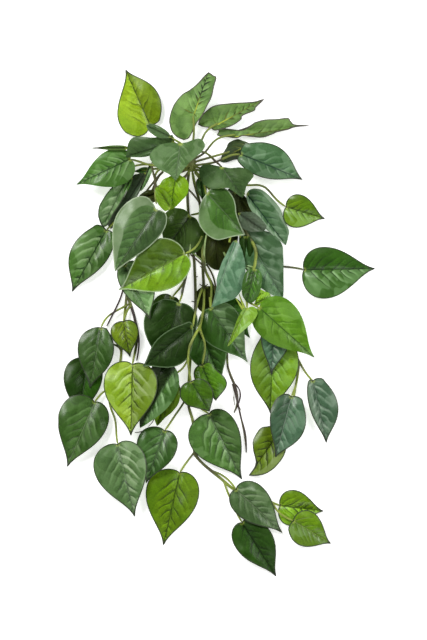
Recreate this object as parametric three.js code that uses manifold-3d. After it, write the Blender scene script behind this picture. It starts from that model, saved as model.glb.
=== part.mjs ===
// A trailing heart-leaf philodendron: one cut bunch that lies on a flat surface, seen from above.
// Millimetres, +Z up, +Y towards the crown end of the bunch. The origin is under the bunch's middle,
// on the surface that it lies on.
//
// Places are written in pixels of the photograph and turned into millimetres by PLACE; widths and radii are
// in millimetres. Heights are worked out here: the pieces are laid down one after another, from the surface
// up, and each comes to lie just clear of what is already under it.
import * as THREE from 'three';
import { mergeVertices } from 'three/addons/utils/BufferGeometryUtils.js';
import Module from 'manifold-3d';

const { clamp, lerp, smoothstep } = THREE.MathUtils;
const wasm = await Module();
wasm.setup();

// Driving dimensions, in millimetres
const BUNCH_LENGTH = 700;
const BLADE_THICKNESS = 0.9;
const BLADE_CLEARANCE = 1.2;
const STALK_CLEARANCE = 0.8;
const JOINT_GAP = 0.35;
const PETIOLE_RADIUS = 1.15;
const BACK_VINE_RADIUS = 1.9;
const VINE_RADIUS = 1.7;
const BRANCH_RADIUS = 1.35;
const ROOT_RADIUS = 0.8;
const CROWN_RADIUS = 6.5;
const CROWN_HEIGHT = CROWN_RADIUS + 1.5;
const CROWN_SIDES = 10;
const SURFACE_WIDTH = 600;
const SURFACE_LENGTH = 860;

// The bunch in the photograph, in pixels: its top and bottom tips, and the middle of its outline
const TOP_PIXEL = 68.5;
const BOTTOM_PIXEL = 577.7;
const MIDDLE_PIXEL = [216.6, 323.1];
const SCALE = BUNCH_LENGTH / (BOTTOM_PIXEL - TOP_PIXEL);

// How finely things are made
const ROWS = 7;
const COLUMNS = 4;
const PETIOLE_SIDES = 5;
const VINE_SIDES = 6;
const STALK_STEP = 13;
const SAMPLE_STEP = 1.2;
const RELIEF_CELL = 1.5;
const DRAPE_STEP = 2;
const DRAPE_REACH = 4;
const JOINT_REACH = 7;
const EASE_REACH = 1.6 * JOINT_REACH;
const WELD = 1e-3;

const PLACE = ([x, y]) => new THREE.Vector2((x - MIDDLE_PIXEL[0]) * SCALE, (MIDDLE_PIXEL[1] - y) * SCALE);

const TONES = {
  lime: 0x9cc332,
  fresh: 0x5f9a34,
  green: 0x3f7a3c,
  deep: 0x28522f,
  blue: 0x3f6f5c,
  grey: 0x587a5e,
  olive: 0x3d4a26,
  stalk: 0x8a9a45,
  vine: 0x6b6a3a,
};

// The height of what already lies on the surface, kept in a grid of cells
class Relief {
  constructor(width, depth, cell) {
    this.cell = cell;
    this.columns = Math.ceil(width / cell);
    this.rows = Math.ceil(depth / cell);
    this.heights = new Float32Array(this.columns * this.rows);
  }

  column(x) {
    return Math.floor(x / this.cell + this.columns / 2);
  }

  row(y) {
    return Math.floor(y / this.cell + this.rows / 2);
  }

  highest(x, y, reach) {
    let top = 0;
    for (let i = this.column(x - reach); i <= this.column(x + reach); i++)
      for (let j = this.row(y - reach); j <= this.row(y + reach); j++)
        top = Math.max(top, this.heights[j * this.columns + i]);
    return top;
  }

  raise(x, y, z, reach = 0) {
    for (let i = this.column(x - reach); i <= this.column(x + reach); i++)
      for (let j = this.row(y - reach); j <= this.row(y + reach); j++) {
        const k = j * this.columns + i;
        this.heights[k] = Math.max(this.heights[k], z);
      }
  }
}

const relief = new Relief(SURFACE_WIDTH, SURFACE_LENGTH, RELIEF_CELL);

// One half of a heart-leaf blade is drawn as fractions of its length and of its half width: the lobe runs
// from the stalk to the widest place, the taper from there to the tip. Depth is how far the lobe reaches
// back past the stalk: 1 on a plain heart, 0 where it hardly does. Blunt goes from 0, a drawn-out tip, to 1.
const PEAK = 0.28;
const LOBE_SHARE = 0.42;
const RIB_CROWDING = 1.35;
const RIB_PULL = 0.3;
const INNER_WIDTH = 0.6;

function lobeCurve(depth) {
  return new THREE.CubicBezierCurve(
    new THREE.Vector2(0, 0),
    new THREE.Vector2(-0.07 * depth, 0.22),
    new THREE.Vector2(0.06 - 0.07 * depth, 1),
    new THREE.Vector2(PEAK, 1),
  );
}

function taperCurve(blunt) {
  return new THREE.CubicBezierCurve(
    new THREE.Vector2(PEAK, 1),
    new THREE.Vector2(0.6, 1),
    new THREE.Vector2(0.8 + 0.18 * blunt, 0.1 + 0.8 * blunt),
    new THREE.Vector2(1, 0),
  );
}

// A point of a blade: row goes from 0 at the stalk to 1 at the tip, across from -1 to 1
function bladePoint(leaf, row, across) {
  const side = Math.abs(across);
  const half = across > 0 ? 0 : 1;
  const margin = row < LOBE_SHARE
    ? lobeCurve(leaf.lobe[half]).getPoint(row / LOBE_SHARE)
    : taperCurve(leaf.blunt[half]).getPoint((row - LOBE_SHARE) / (1 - LOBE_SHARE));
  if (margin.x > 0) margin.x **= Math.log(leaf.peak[half]) / Math.log(PEAK);
  const rib = row ** RIB_CROWDING;
  const bend = rib + RIB_PULL * (margin.x - rib);
  const along = (1 - side) ** 2 * rib + 2 * side * (1 - side) * bend + side ** 2 * margin.x;
  const out = (2 * side * (1 - side) * INNER_WIDTH + side ** 2) * margin.y;
  const width = across > 0 ? leaf.left : leaf.right;
  const swing = Math.sin(Math.PI * clamp(along, 0, 1));
  const sideways = Math.sign(across) * out * width + leaf.bow * swing;
  const chord = leaf.tipPlace.clone().sub(leaf.basePlace);
  const unit = chord.clone().normalize();
  return new THREE.Vector3(
    leaf.basePlace.x + chord.x * along - unit.y * sideways,
    leaf.basePlace.y + chord.y * along + unit.x * sideways,
    leaf.rise * along + leaf.arch * swing + leaf.fold[half] * out + leaf.cup * 4 * out * (1 - out),
  );
}

// The closed slab of a blade, with its stalk end at height 0
function bladeGeometry(leaf) {
  const slab = new THREE.BoxGeometry(1, 2, 1, ROWS, COLUMNS, 1);
  slab.deleteAttribute('normal');
  slab.deleteAttribute('uv');
  const position = slab.getAttribute('position');
  for (let i = 0; i < position.count; i++) {
    const point = bladePoint(leaf, position.getX(i) + 0.5, position.getY(i));
    position.setXYZ(i, point.x, point.y, point.z + position.getZ(i) * BLADE_THICKNESS);
  }
  return withoutSlivers(mergeVertices(slab, WELD));
}

// The rows at the two ends of the slab shrink to a point, so their empty triangles are left out
function withoutSlivers(geometry) {
  const kept = [];
  const index = geometry.getIndex();
  for (let i = 0; i < index.count; i += 3) {
    const [a, b, c] = [index.getX(i), index.getX(i + 1), index.getX(i + 2)];
    if (a !== b && b !== c && c !== a) kept.push(a, b, c);
  }
  geometry.setIndex(kept);
  return geometry;
}

// Points spread over the triangles of a geometry
function samples(geometry) {
  const index = geometry.getIndex();
  const position = geometry.getAttribute('position');
  const corner = (i) => new THREE.Vector3().fromBufferAttribute(position, index.getX(i));
  const points = [];
  for (let i = 0; i < index.count; i += 3) {
    const [a, b, c] = [corner(i), corner(i + 1), corner(i + 2)];
    const longest = Math.max(a.distanceTo(b), b.distanceTo(c), c.distanceTo(a));
    const steps = Math.max(1, Math.ceil(longest / SAMPLE_STEP));
    for (let j = 0; j <= steps; j++)
      for (let k = 0; k <= steps - j; k++) {
        const point = a.clone().multiplyScalar(1 - (j + k) / steps);
        points.push(point.addScaledVector(b, j / steps).addScaledVector(c, k / steps));
      }
  }
  return points;
}

// Every stem and stalk that has been laid, by name: its centre line as closely spaced points
const lines = new Map();

function nearest(name, place) {
  let best = null;
  const away = (point) => Math.hypot(point.x - place.x, point.y - place.y);
  for (const point of lines.get(name)) if (!best || away(point) < away(best)) best = point;
  return best.clone();
}

// Lays a stalk along a route in the plane: it starts and ends at the heights given, and between them it
// stays clear of what it crosses. Where a height is null it only lies on what is there.
function layLine(route, radius, startHeight, endHeight) {
  const level = route.map((p) => new THREE.Vector3(p.x, p.y, 0));
  const flat = new THREE.CatmullRomCurve3(level, false, 'centripetal');
  const length = flat.getLength();
  const count = Math.max(DRAPE_REACH, Math.ceil(length / DRAPE_STEP));
  const points = flat.getSpacedPoints(count);
  const rest = points.map((p) => relief.highest(p.x, p.y, radius) + radius + STALK_CLEARANCE);
  const start = startHeight ?? rest[0];
  const end = endHeight ?? rest[count];
  const need = rest.map((z, i) => {
    const fromStart = (i / count) * length;
    const fromEnd = length - fromStart;
    const between = lerp(start, end, smoothstep(i / count, 0, 1));
    if (startHeight !== null && fromStart < JOINT_REACH) return between;
    if (endHeight !== null && fromEnd < JOINT_REACH) return between;
    return endHeight === null ? z : Math.max(z, between);
  });
  const near = (list, i, merge) => merge(list.slice(Math.max(0, i - DRAPE_REACH), i + DRAPE_REACH + 1));
  const high = need.map((_, i) => near(need, i, (w) => Math.max(...w)));
  const soft = high.map((_, i) => near(high, i, (w) => w.reduce((sum, z) => sum + z, 0) / w.length));
  points.forEach((p, i) => {
    const fromStart = (i / count) * length;
    const fromEnd = length - fromStart;
    let z = soft[i];
    if (startHeight !== null) z = lerp(start, z, smoothstep(fromStart, 0, EASE_REACH));
    if (endHeight !== null) z = lerp(end, z, smoothstep(fromEnd, 0, EASE_REACH));
    p.z = Math.max(z, radius);
  });
  return points;
}

// A tube along a centre line
function tubeGeometry(points, radius, sides) {
  const curve = new THREE.CatmullRomCurve3(points, false, 'centripetal');
  const section = new THREE.Shape();
  for (let i = 0; i < sides; i++) {
    const angle = (i / sides) * Math.PI * 2;
    const method = i === 0 ? 'moveTo' : 'lineTo';
    section[method](radius * Math.cos(angle), radius * Math.sin(angle));
  }
  section.closePath();
  const steps = Math.max(2, Math.round(curve.getLength() / STALK_STEP));
  return new THREE.ExtrudeGeometry(section, { steps, bevelEnabled: false, extrudePath: curve });
}

function solidOf(geometry) {
  const bare = geometry.clone();
  bare.deleteAttribute('normal');
  bare.deleteAttribute('uv');
  const merged = mergeVertices(bare, WELD / 10);
  return new wasm.Manifold(new wasm.Mesh({
    numProp: 3,
    vertProperties: merged.getAttribute('position').array,
    triVerts: new Uint32Array(merged.getIndex().array),
  }));
}

function geometryOf(solid) {
  const mesh = solid.getMesh();
  const geometry = new THREE.BufferGeometry();
  geometry.setAttribute('position', new THREE.BufferAttribute(mesh.vertProperties, 3));
  geometry.setIndex(new THREE.BufferAttribute(mesh.triVerts, 1));
  return geometry;
}

const bunch = new THREE.Group();
const stems = new Map();

// Joins a tube to the stem that it grows from
function grow(stem, geometry) {
  const solid = solidOf(geometry);
  stems.set(stem, stems.has(stem) ? stems.get(stem).add(solid) : solid);
}

function coverLine(points, radius) {
  points.forEach((p) => relief.raise(p.x, p.y, p.z + radius, radius));
}

// The crown: a short knobbly stub that lies along Y, with its girth as shares of radius and length
const CROWN_GIRTH = [[0, 0], [0.72, 0], [0.95, 0.12], [0.86, 0.35], [1, 0.6], [0.9, 0.88], [0.6, 1], [0, 1]];

function layCrown(topPixel, footPixel) {
  const top = PLACE(topPixel);
  const foot = PLACE(footPixel);
  const length = top.distanceTo(foot);
  const stub = new THREE.LatheGeometry(
    CROWN_GIRTH.map(([girth, along]) => new THREE.Vector2(girth * CROWN_RADIUS, along * length)),
    CROWN_SIDES,
  );
  const lean = new THREE.Vector3(top.x - foot.x, top.y - foot.y, 0).normalize();
  stub.applyQuaternion(new THREE.Quaternion().setFromUnitVectors(new THREE.Vector3(0, 1, 0), lean));
  stub.translate(foot.x, foot.y, CROWN_HEIGHT);
  grow('crown', stub);
  const axis = new THREE.LineCurve3(
    new THREE.Vector3(foot.x, foot.y, CROWN_HEIGHT),
    new THREE.Vector3(top.x, top.y, CROWN_HEIGHT),
  );
  lines.set('crown', axis.getSpacedPoints(Math.ceil(length / DRAPE_STEP)));
  coverLine(lines.get('crown'), CROWN_RADIUS);
}

// A trailing stem. It starts at a height against the crown's foot, or inside the stem that it branches from
function layVine({ name, stem, branchOf, from, route, radius = VINE_RADIUS }) {
  const places = route.map(PLACE);
  let start = from;
  if (branchOf) {
    const root = nearest(branchOf, places[0]);
    places[0].set(root.x, root.y);
    start = root.z;
  }
  const points = layLine(places, radius, start, null);
  lines.set(name, points);
  coverLine(points, radius);
  grow(stem ?? name, tubeGeometry(points, radius, VINE_SIDES));
}

// How a leaf is shaped where its row says nothing else. Left and right, the half widths, and bow, the
// sideways swing of the midrib, are in the plane. Fold, rise, arch and cup are heights: of each margin over
// the midrib, of the tip over the stalk end, and of the bulges along and across. Pairs are [left, right], as
// seen from the stalk. An unseen leaf has its stalk and its room here but no blade, because others hide
// nearly all of it.
const PLAIN_LEAF = {
  fold: [2, 2], rise: -4, arch: 6, cup: 2.5, bow: 0, peak: [PEAK, PEAK], lobe: [1, 1], blunt: [0, 0],
  over: false, under: false, unseen: false,
};

// A blade with its stalk. The blade settles on what is under it, then its stalk runs down to the stem
function layLeaf(spec) {
  const leaf = { ...PLAIN_LEAF, ...spec };
  leaf.basePlace = PLACE(leaf.base);
  leaf.tipPlace = PLACE(leaf.tip);
  const geometry = bladeGeometry(leaf);
  const points = samples(geometry);
  const { x, y } = leaf.basePlace;
  const stalkRoom = leaf.over ? 0 : 2 * PETIOLE_RADIUS + JOINT_GAP + BLADE_THICKNESS;
  let height = relief.highest(x, y, PETIOLE_RADIUS) + stalkRoom + STALK_CLEARANCE;
  for (const p of points) {
    const under = relief.highest(p.x, p.y, RELIEF_CELL);
    height = Math.max(height, under - p.z + (under > 0 ? BLADE_CLEARANCE : 0));
  }
  if (leaf.under) height += 2 * (PETIOLE_RADIUS + STALK_CLEARANCE);
  geometry.translate(0, 0, height);
  const cover = () => points.forEach((p) => relief.raise(p.x, p.y, p.z + height));
  if (leaf.under) {
    layPetiole(leaf, height);
    cover();
  } else {
    cover();
    layPetiole(leaf, height);
  }
  if (leaf.unseen) return;
  const mesh = new THREE.Mesh(geometry, new THREE.MeshStandardMaterial({
    color: TONES[leaf.tone],
    roughness: 0.42,
    metalness: 0,
  }));
  mesh.name = leaf.name;
  bunch.add(mesh);
}

function layPetiole(leaf, height) {
  const away = PETIOLE_RADIUS + BLADE_THICKNESS / 2 + JOINT_GAP;
  const seat = leaf.seat ? PLACE(leaf.seat) : leaf.basePlace;
  const route = [...leaf.stalk.map(PLACE), seat.clone()];
  const root = nearest(leaf.on, route[0]);
  route[0].set(root.x, root.y);
  const seatTop = relief.highest(seat.x, seat.y, PETIOLE_RADIUS) + PETIOLE_RADIUS + JOINT_GAP;
  const seatHeight = leaf.over ? seatTop : height - away;
  const points = layLine(route, PETIOLE_RADIUS, root.z, seatHeight);
  coverLine(points, PETIOLE_RADIUS);
  lines.set(`${leaf.name}_stalk`, points);
  grow(leaf.stem ?? leaf.on, tubeGeometry(points, PETIOLE_RADIUS, PETIOLE_SIDES));
}

// What lies on the surface, from the bottom up
layCrown([190.5, 146], [191.5, 171]);
layVine({
  name: 'vine_right_back', from: 5.5, radius: BACK_VINE_RADIUS,
  route: [[194.5, 171.6], [204, 182], [218, 198], [238, 222], [252, 245], [262, 270], [268, 295], [274, 318],
    [281, 338], [293, 351], [299, 361]],
});
layVine({
  name: 'vine_right_back_low', stem: 'vine_right_back', branchOf: 'vine_right_back', radius: BRANCH_RADIUS,
  route: [[299, 361], [298.5, 372], [296, 386]],
});
layLeaf({
  name: 'leaf_58', base: [285, 425], tip: [248.8, 476.6], left: 27.5, right: 20.5, peak: [0.55, 0.28],
  fold: [6, 2], tone: 'lime',
  on: 'vine_right_back_low', stem: 'vine_right_back', stalk: [[296, 386], [293, 402], [288, 417]],
});
layLeaf({
  name: 'leaf_54', base: [273, 337], tip: [270.4, 413.9], left: 37, right: 30, peak: [0.33, 0.4],
  fold: [3, 1], tone: 'lime',
  on: 'vine_right_back', stalk: [[278, 330], [275.5, 333]],
});
layLeaf({
  name: 'leaf_55', base: [275, 318], tip: [271.3, 375.5], left: 24.5, right: 18, fold: [4, 2],
  tone: 'blue',
  on: 'vine_right_back', stalk: [[270, 303], [273, 311]],
});
layLeaf({
  name: 'leaf_23', base: [304, 269.5], tip: [376, 268.4], left: 31, right: 40.5, lobe: [0.6, 1],
  fold: [2, 1], tone: 'deep',
  on: 'vine_right_back', stalk: [[258, 258], [270, 262], [283.4, 266.8], [294, 267]],
});
layLeaf({
  name: 'leaf_25', base: [232, 200], tip: [262, 238], left: 23.5, right: 23.5, tone: 'olive',
  unseen: true,
  on: 'vine_right_back', stalk: [[222, 203], [227, 201]],
});
layLeaf({
  name: 'leaf_24', base: [245, 232], tip: [283, 298], left: 26.5, right: 30, peak: [0.4, 0.45],
  fold: [1, 1], tone: 'blue',
  on: 'vine_right_back', stalk: [[238, 222], [241, 227]],
});
layLeaf({
  name: 'leaf_52', base: [214, 226], tip: [219, 270], left: 24.5, right: 24.5, tone: 'olive',
  on: 'vine_right_back', stalk: [[228, 211], [221, 217]],
});

layVine({
  name: 'vine_left', from: 6.5,
  route: [[188, 171.6], [187, 176], [180, 179], [165, 183], [147, 194], [135, 215], [127.5, 245], [124, 272],
    [125.5, 290], [131, 306], [135.5, 323], [137, 340], [134, 356]],
});
layVine({
  name: 'vine_left_low', stem: 'vine_left', branchOf: 'vine_left', radius: BRANCH_RADIUS,
  route: [[126.5, 294], [124, 318], [121.6, 345], [120.4, 360], [116, 380], [108.5, 401]],
});
layVine({
  name: 'root_left', stem: 'vine_left', branchOf: 'vine_left', radius: ROOT_RADIUS,
  route: [[124, 281], [121.3, 295.8], [115.5, 308.2], [106.3, 326.4]],
});
layVine({
  name: 'root_left_low', stem: 'vine_left', branchOf: 'vine_left', radius: ROOT_RADIUS,
  route: [[132, 309], [137.8, 329.7], [139, 345], [136.5, 361]],
});
layLeaf({
  name: 'leaf_47', base: [88, 360], tip: [78, 420], left: 23.5, right: 30, fold: [1, 2], tone: 'deep',
  on: 'vine_left_low', stem: 'vine_left', stalk: [[121.5, 348], [113, 343.5], [99, 347]],
});
layLeaf({
  name: 'leaf_46', base: [100.9, 327.5], tip: [89.8, 388], left: 23.5, right: 27, peak: [0.38, 0.32],
  lobe: [0.5, 0.2], fold: [-3, -2], tone: 'green',
  on: 'vine_left', stalk: [[130, 303], [116.3, 310.7], [106.3, 316.5]],
});
layLeaf({
  name: 'leaf_48', base: [123.5, 321.4], tip: [130, 357.3], left: 18, right: 20.5, fold: [-2, 2],
  tone: 'fresh',
  on: 'vine_left', stalk: [[130.5, 305], [126, 312]],
});

layVine({
  name: 'vine_centre', from: 12.5,
  route: [[189, 171.5], [187.5, 184], [187.5, 200], [189.5, 225], [193.6, 255], [195.4, 290], [195.4, 307],
    [191.5, 345], [189, 378], [188.4, 407.7], [192.6, 419], [194, 436], [193.6, 452.5], [199.2, 460.8],
    [212.5, 472.4], [224, 481.5], [235.7, 491.4], [256, 499], [274, 503.5]],
});
layVine({
  name: 'vine_centre_left', stem: 'vine_centre', branchOf: 'vine_centre', radius: BRANCH_RADIUS,
  route: [[188, 212], [187.5, 238], [188.5, 262], [185.5, 278], [181.5, 294]],
});
layVine({
  name: 'vine_mid', from: 13,
  route: [[192.5, 171.5], [194, 182], [199, 199], [201.5, 215], [202.5, 240], [202.5, 264], [203.9, 286]],
});
layVine({
  name: 'vine_mid_right', stem: 'vine_mid', branchOf: 'vine_mid', radius: BRANCH_RADIUS,
  route: [[202.5, 252], [205.5, 271.7], [211, 281], [216, 293], [222, 312], [226, 342], [227.6, 366]],
});
layVine({
  name: 'root_right', stem: 'vine_mid', branchOf: 'vine_mid_right', radius: ROOT_RADIUS,
  route: [[227.6, 366], [231.6, 381], [238.8, 387], [241.4, 394.3], [237.9, 405], [234, 413]],
});
layVine({
  name: 'root_right_low', stem: 'vine_mid', branchOf: 'root_right', radius: ROOT_RADIUS,
  route: [[232.8, 384], [237, 398.8], [241.4, 420], [245.5, 433], [246.3, 453]],
});
layVine({
  name: 'vine_right', from: 8.5,
  route: [[195.8, 171.6], [208, 184], [225, 202], [241, 223], [250, 239], [256, 248], [255.5, 262],
    [251, 280], [246.5, 302]],
});

layLeaf({
  name: 'leaf_60', base: [242, 523], tip: [276.6, 577.7], left: 27, right: 26, peak: [0.34, 0.28],
  fold: [2, 3], tone: 'deep',
  on: 'vine_centre', stalk: [[224, 481], [227, 492], [231, 500], [236, 512]],
});
layLeaf({
  name: 'leaf_59', base: [235.9, 489.7], tip: [282.8, 533.7], left: 27.5, right: 24, fold: [2, 3],
  tone: 'deep',
  on: 'vine_centre', stalk: [[212.5, 472], [222, 475], [230, 481]],
});
layLeaf({
  name: 'leaf_61', base: [280, 506], tip: [324, 511.7], left: 24, right: 26, fold: [2, -2], tone: 'lime',
  on: 'vine_centre', stalk: [[273, 503], [276, 504.5]],
});
layLeaf({
  name: 'leaf_62', base: [293.3, 521.2], tip: [331.2, 544.2], left: 24.5, right: 24.5,
  peak: [0.28, 0.35], fold: [2, 1], tone: 'lime',
  on: 'vine_centre', stalk: [[272, 502.5], [277, 511], [286, 518]],
});
layLeaf({
  name: 'leaf_39', base: [179.7, 473], tip: [163.1, 546.4], left: 33, right: 40.5, fold: [2, 2],
  tone: 'lime',
  on: 'vine_centre', stalk: [[193.5, 452.5], [187, 462], [181.5, 470]],
});
layLeaf({
  name: 'leaf_40', base: [164.8, 430.8], tip: [145.7, 483.8], left: 24.5, right: 31.5, fold: [2, 1],
  tone: 'deep',
  on: 'vine_centre', stalk: [[188.6, 395], [183.4, 403.5], [174, 417], [167, 428]],
});
layLeaf({
  name: 'leaf_41', base: [117.5, 444.2], tip: [134.7, 517.3], left: 33, right: 40, fold: [1, 1],
  tone: 'grey',
  on: 'vine_left_low', stem: 'vine_left',
  stalk: [[108.5, 401], [110.5, 409.3], [115.4, 420], [116.3, 438]],
});
layLeaf({
  name: 'leaf_42', base: [94.5, 402], tip: [66.7, 467.6], left: 29.5, right: 40, lobe: [1, 1.3],
  fold: [-2, -3], tone: 'green',
  on: 'vine_left_low', stem: 'vine_left', stalk: [[110, 388], [104.4, 390.5], [98, 397]],
});
layLeaf({
  name: 'leaf_38', base: [209, 414], tip: [242.2, 480.3], left: 28, right: 42.5, fold: [1, 2],
  tone: 'green',
  on: 'vine_centre', stalk: [[188.5, 400], [197, 406], [204, 411]],
});

layLeaf({
  name: 'leaf_45', base: [172, 375], tip: [157, 426], left: 20.5, right: 19, tone: 'lime',
  on: 'vine_centre', stalk: [[190.5, 350], [187, 362], [179.7, 372]],
});
layLeaf({
  name: 'leaf_44', base: [157, 360], tip: [139.5, 428], left: 37, right: 29, lobe: [1, 2.2],
  fold: [-3, 4], tone: 'deep',
  on: 'vine_centre', stalk: [[191.8, 342], [178, 352], [166, 357]],
});
layLeaf({
  name: 'leaf_43', base: [132.6, 364.2], tip: [130.9, 436], left: 35, right: 39, lobe: [1, 1.4],
  fold: [-2, -2], tone: 'lime',
  on: 'vine_left', stalk: [[134.2, 354], [133.5, 359]],
});
layLeaf({
  name: 'leaf_35', base: [200, 330], tip: [222, 384], left: 27.5, right: 27.5, tone: 'deep',
  on: 'vine_centre', stalk: [[194, 318], [197, 324]],
});
layLeaf({
  name: 'leaf_31', base: [222, 302], tip: [250, 338], left: 20.5, right: 16.5, fold: [1, 1],
  tone: 'deep', unseen: true,
  on: 'vine_mid_right', stem: 'vine_mid', stalk: [[217, 294], [219, 298]],
});
layLeaf({
  name: 'leaf_30', base: [210.5, 308.1], tip: [247.8, 362.5], left: 27.5, right: 31.5, fold: [-2, -2],
  tone: 'deep',
  on: 'vine_mid_right', stem: 'vine_mid', stalk: [[207.5, 275], [211.3, 283], [211.2, 297]],
});
layLeaf({
  name: 'leaf_34', base: [172, 297], tip: [152, 345], left: 18, right: 22, fold: [1, 1], tone: 'olive',
  unseen: true,
  on: 'vine_centre_left', stem: 'vine_centre', stalk: [[185, 282], [179, 289]],
});
layLeaf({
  name: 'leaf_32', base: [179, 303.5], tip: [160, 368], left: 33, right: 40, peak: [0.28, 0.33],
  fold: [1, -2], tone: 'deep',
  on: 'vine_centre_left', stem: 'vine_centre', stalk: [[184, 286], [182, 295]],
});
layLeaf({
  name: 'leaf_33', base: [193, 327], tip: [142.9, 366.6], left: 30, right: 18, peak: [0.44, 0.45],
  lobe: [0, 1], fold: [1, 9], tone: 'deep',
  on: 'vine_mid', stalk: [[203.9, 284], [199, 297], [195.5, 312], [193.2, 322]],
});
layVine({
  name: 'stalk_mid', stem: 'vine_mid', branchOf: 'vine_mid', radius: BRANCH_RADIUS,
  route: [[203.9, 286], [204, 303], [202.2, 316.4], [199.7, 326.4], [193, 338.5], [189.5, 346]],
});
layLeaf({
  name: 'leaf_36', base: [202, 365], tip: [216, 401], left: 23.5, right: 16.5, peak: [0.6, 0.28],
  fold: [3, 1], tone: 'fresh',
  on: 'stalk_mid', stem: 'vine_mid', stalk: [[199.7, 326.4], [202, 335], [205.5, 345], [203.5, 358]],
});
layLeaf({
  name: 'leaf_37', base: [191, 381], tip: [209.5, 411.5], left: 25.5, right: 23.5, fold: [-2, -2],
  tone: 'fresh',
  on: 'stalk_mid', stem: 'vine_mid', stalk: [[190, 345], [187.8, 358], [189.6, 374]],
});

layLeaf({
  name: 'leaf_49', base: [125, 265], tip: [150.3, 319.5], left: 26, right: 18, peak: [0.4, 0.28],
  tone: 'grey',
  on: 'vine_left', stalk: [[127, 248], [125.5, 256]],
});
layLeaf({
  name: 'leaf_51', base: [190, 215], tip: [165, 245], left: 29, right: 22, fold: [-3, -1], tone: 'olive',
  on: 'vine_mid', stalk: [[201.3, 212], [195, 214]],
});
layLeaf({
  name: 'leaf_50', base: [185, 254], tip: [118.6, 290.3], left: 33, right: 37, peak: [0.33, 0.3],
  lobe: [1, 0.6], fold: [-3, 2], tone: 'lime',
  on: 'vine_mid', stalk: [[202.4, 235], [197, 246], [190, 252.5]],
});
layLeaf({
  name: 'leaf_07', base: [141, 170], tip: [110, 228], left: 12.5, right: 16.5, fold: [5, 5],
  tone: 'deep',
  on: 'crown', stalk: [[191.3, 167], [175, 170], [156, 168]],
});
layLeaf({
  name: 'leaf_53', base: [106, 230], tip: [71.5, 292], left: 21.5, right: 30, peak: [0.3, 0.42],
  tone: 'green',
  on: 'vine_left', stalk: [[139, 205], [128, 213], [114, 222]],
});
layLeaf({
  name: 'leaf_08', base: [151, 162.7], tip: [139.5, 192], left: 7, right: 7, fold: [3, 3], tone: 'fresh',
  unseen: true,
  on: 'crown', stalk: [[191.2, 167], [172, 164], [158, 160]],
});
layLeaf({
  name: 'leaf_06', base: [133, 166], tip: [102.3, 226.5], left: 9, right: 20, peak: [0.35, 0.66],
  fold: [12, 5], tone: 'grey',
  on: 'crown', stalk: [[191.3, 166], [175, 167], [155, 164.5], [140, 164.5]],
});
layLeaf({
  name: 'leaf_09', base: [160, 186], tip: [136, 206], left: 13.5, right: 13.5, fold: [1, 1],
  tone: 'olive', unseen: true,
  on: 'crown', stalk: [[191.2, 168], [178, 173], [167, 181]],
});
layLeaf({
  name: 'leaf_10', base: [156.4, 204.6], tip: [115.4, 271.6], left: 24.5, right: 38, peak: [0.28, 0.38],
  fold: [-4, -4], tone: 'blue',
  on: 'crown', stalk: [[191.2, 164], [170, 166], [156, 172], [155.5, 192]],
});

layLeaf({
  name: 'leaf_57', base: [291.5, 396.6], tip: [275.4, 458], left: 29, right: 22.5, peak: [0.42, 0.28],
  fold: [1, 2], tone: 'blue',
  on: 'vine_right_back_low', stem: 'vine_right_back', stalk: [[296, 386], [294, 391]],
});
layLeaf({
  name: 'leaf_56', base: [312.9, 380.9], tip: [326.8, 443.5], left: 27, right: 12.5, peak: [0.42, 0.34],
  fold: [-2, 4], tone: 'blue',
  on: 'vine_right_back', stalk: [[299, 360.5], [305.7, 372.9]],
});
layLeaf({
  name: 'leaf_26', base: [240, 238], tip: [211.7, 307], left: 32.5, right: 8, peak: [0.62, 0.35],
  fold: [-1, 4], tone: 'blue',
  on: 'vine_right', stalk: [[244, 229], [240, 233]],
});
layLeaf({
  name: 'leaf_63', base: [247, 304], tip: [272, 291], left: 10.5, right: 12.5, fold: [1, 1],
  tone: 'lime', unseen: true,
  on: 'vine_right', stalk: [[248.5, 293], [247.5, 299]],
});
layLeaf({
  name: 'leaf_28', base: [259.3, 307.7], tip: [314.6, 357.7], left: 35, right: 27.5, fold: [-3, -2],
  tone: 'fresh',
  on: 'vine_right', stalk: [[246.8, 300], [252, 304]],
});
layLeaf({
  name: 'leaf_29', base: [247, 308], tip: [227.6, 346], left: 20.5, right: 7, fold: [-1, 3],
  tone: 'lime',
  on: 'vine_right', stalk: [[246.6, 301], [247, 304]],
});
layLeaf({
  name: 'leaf_27', base: [254.7, 269], tip: [247, 302], left: 11, right: 11, fold: [-2, -2],
  tone: 'green',
  on: 'vine_right', stalk: [[256, 248], [256.5, 258]],
});

layLeaf({
  name: 'leaf_21', base: [245.8, 194], tip: [285.8, 245], left: 24, right: 8, peak: [0.42, 0.4],
  blunt: [0.9, 0], fold: [-3, 5], tone: 'blue',
  on: 'crown', stalk: [[191.4, 168], [206, 172], [222, 181], [236, 191]],
});
layLeaf({
  name: 'leaf_22', base: [286, 206.6], tip: [325.2, 218.5], left: 22, right: 24.5, fold: [1, -1],
  tone: 'lime',
  on: 'crown',
  stalk: [[191.4, 166], [210, 171], [232, 181], [247, 185.5], [257, 184], [266.6, 187], [274, 197],
    [280.7, 203.4]],
});
layLeaf({
  name: 'leaf_16', base: [246, 148], tip: [220.5, 160.5], left: 9.5, right: 19, tone: 'deep',
  under: true, unseen: true,
  on: 'crown', stalk: [[191, 162], [210, 157], [228, 152]],
});
layLeaf({
  name: 'leaf_17', base: [240.6, 154], tip: [302.8, 179.5], left: 29.5, right: 19, peak: [0.42, 0.34],
  fold: [-2, -1], tone: 'green',
  on: 'crown', stalk: [[191.2, 165], [204, 164], [219, 161], [230.4, 154.6]],
});
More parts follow.
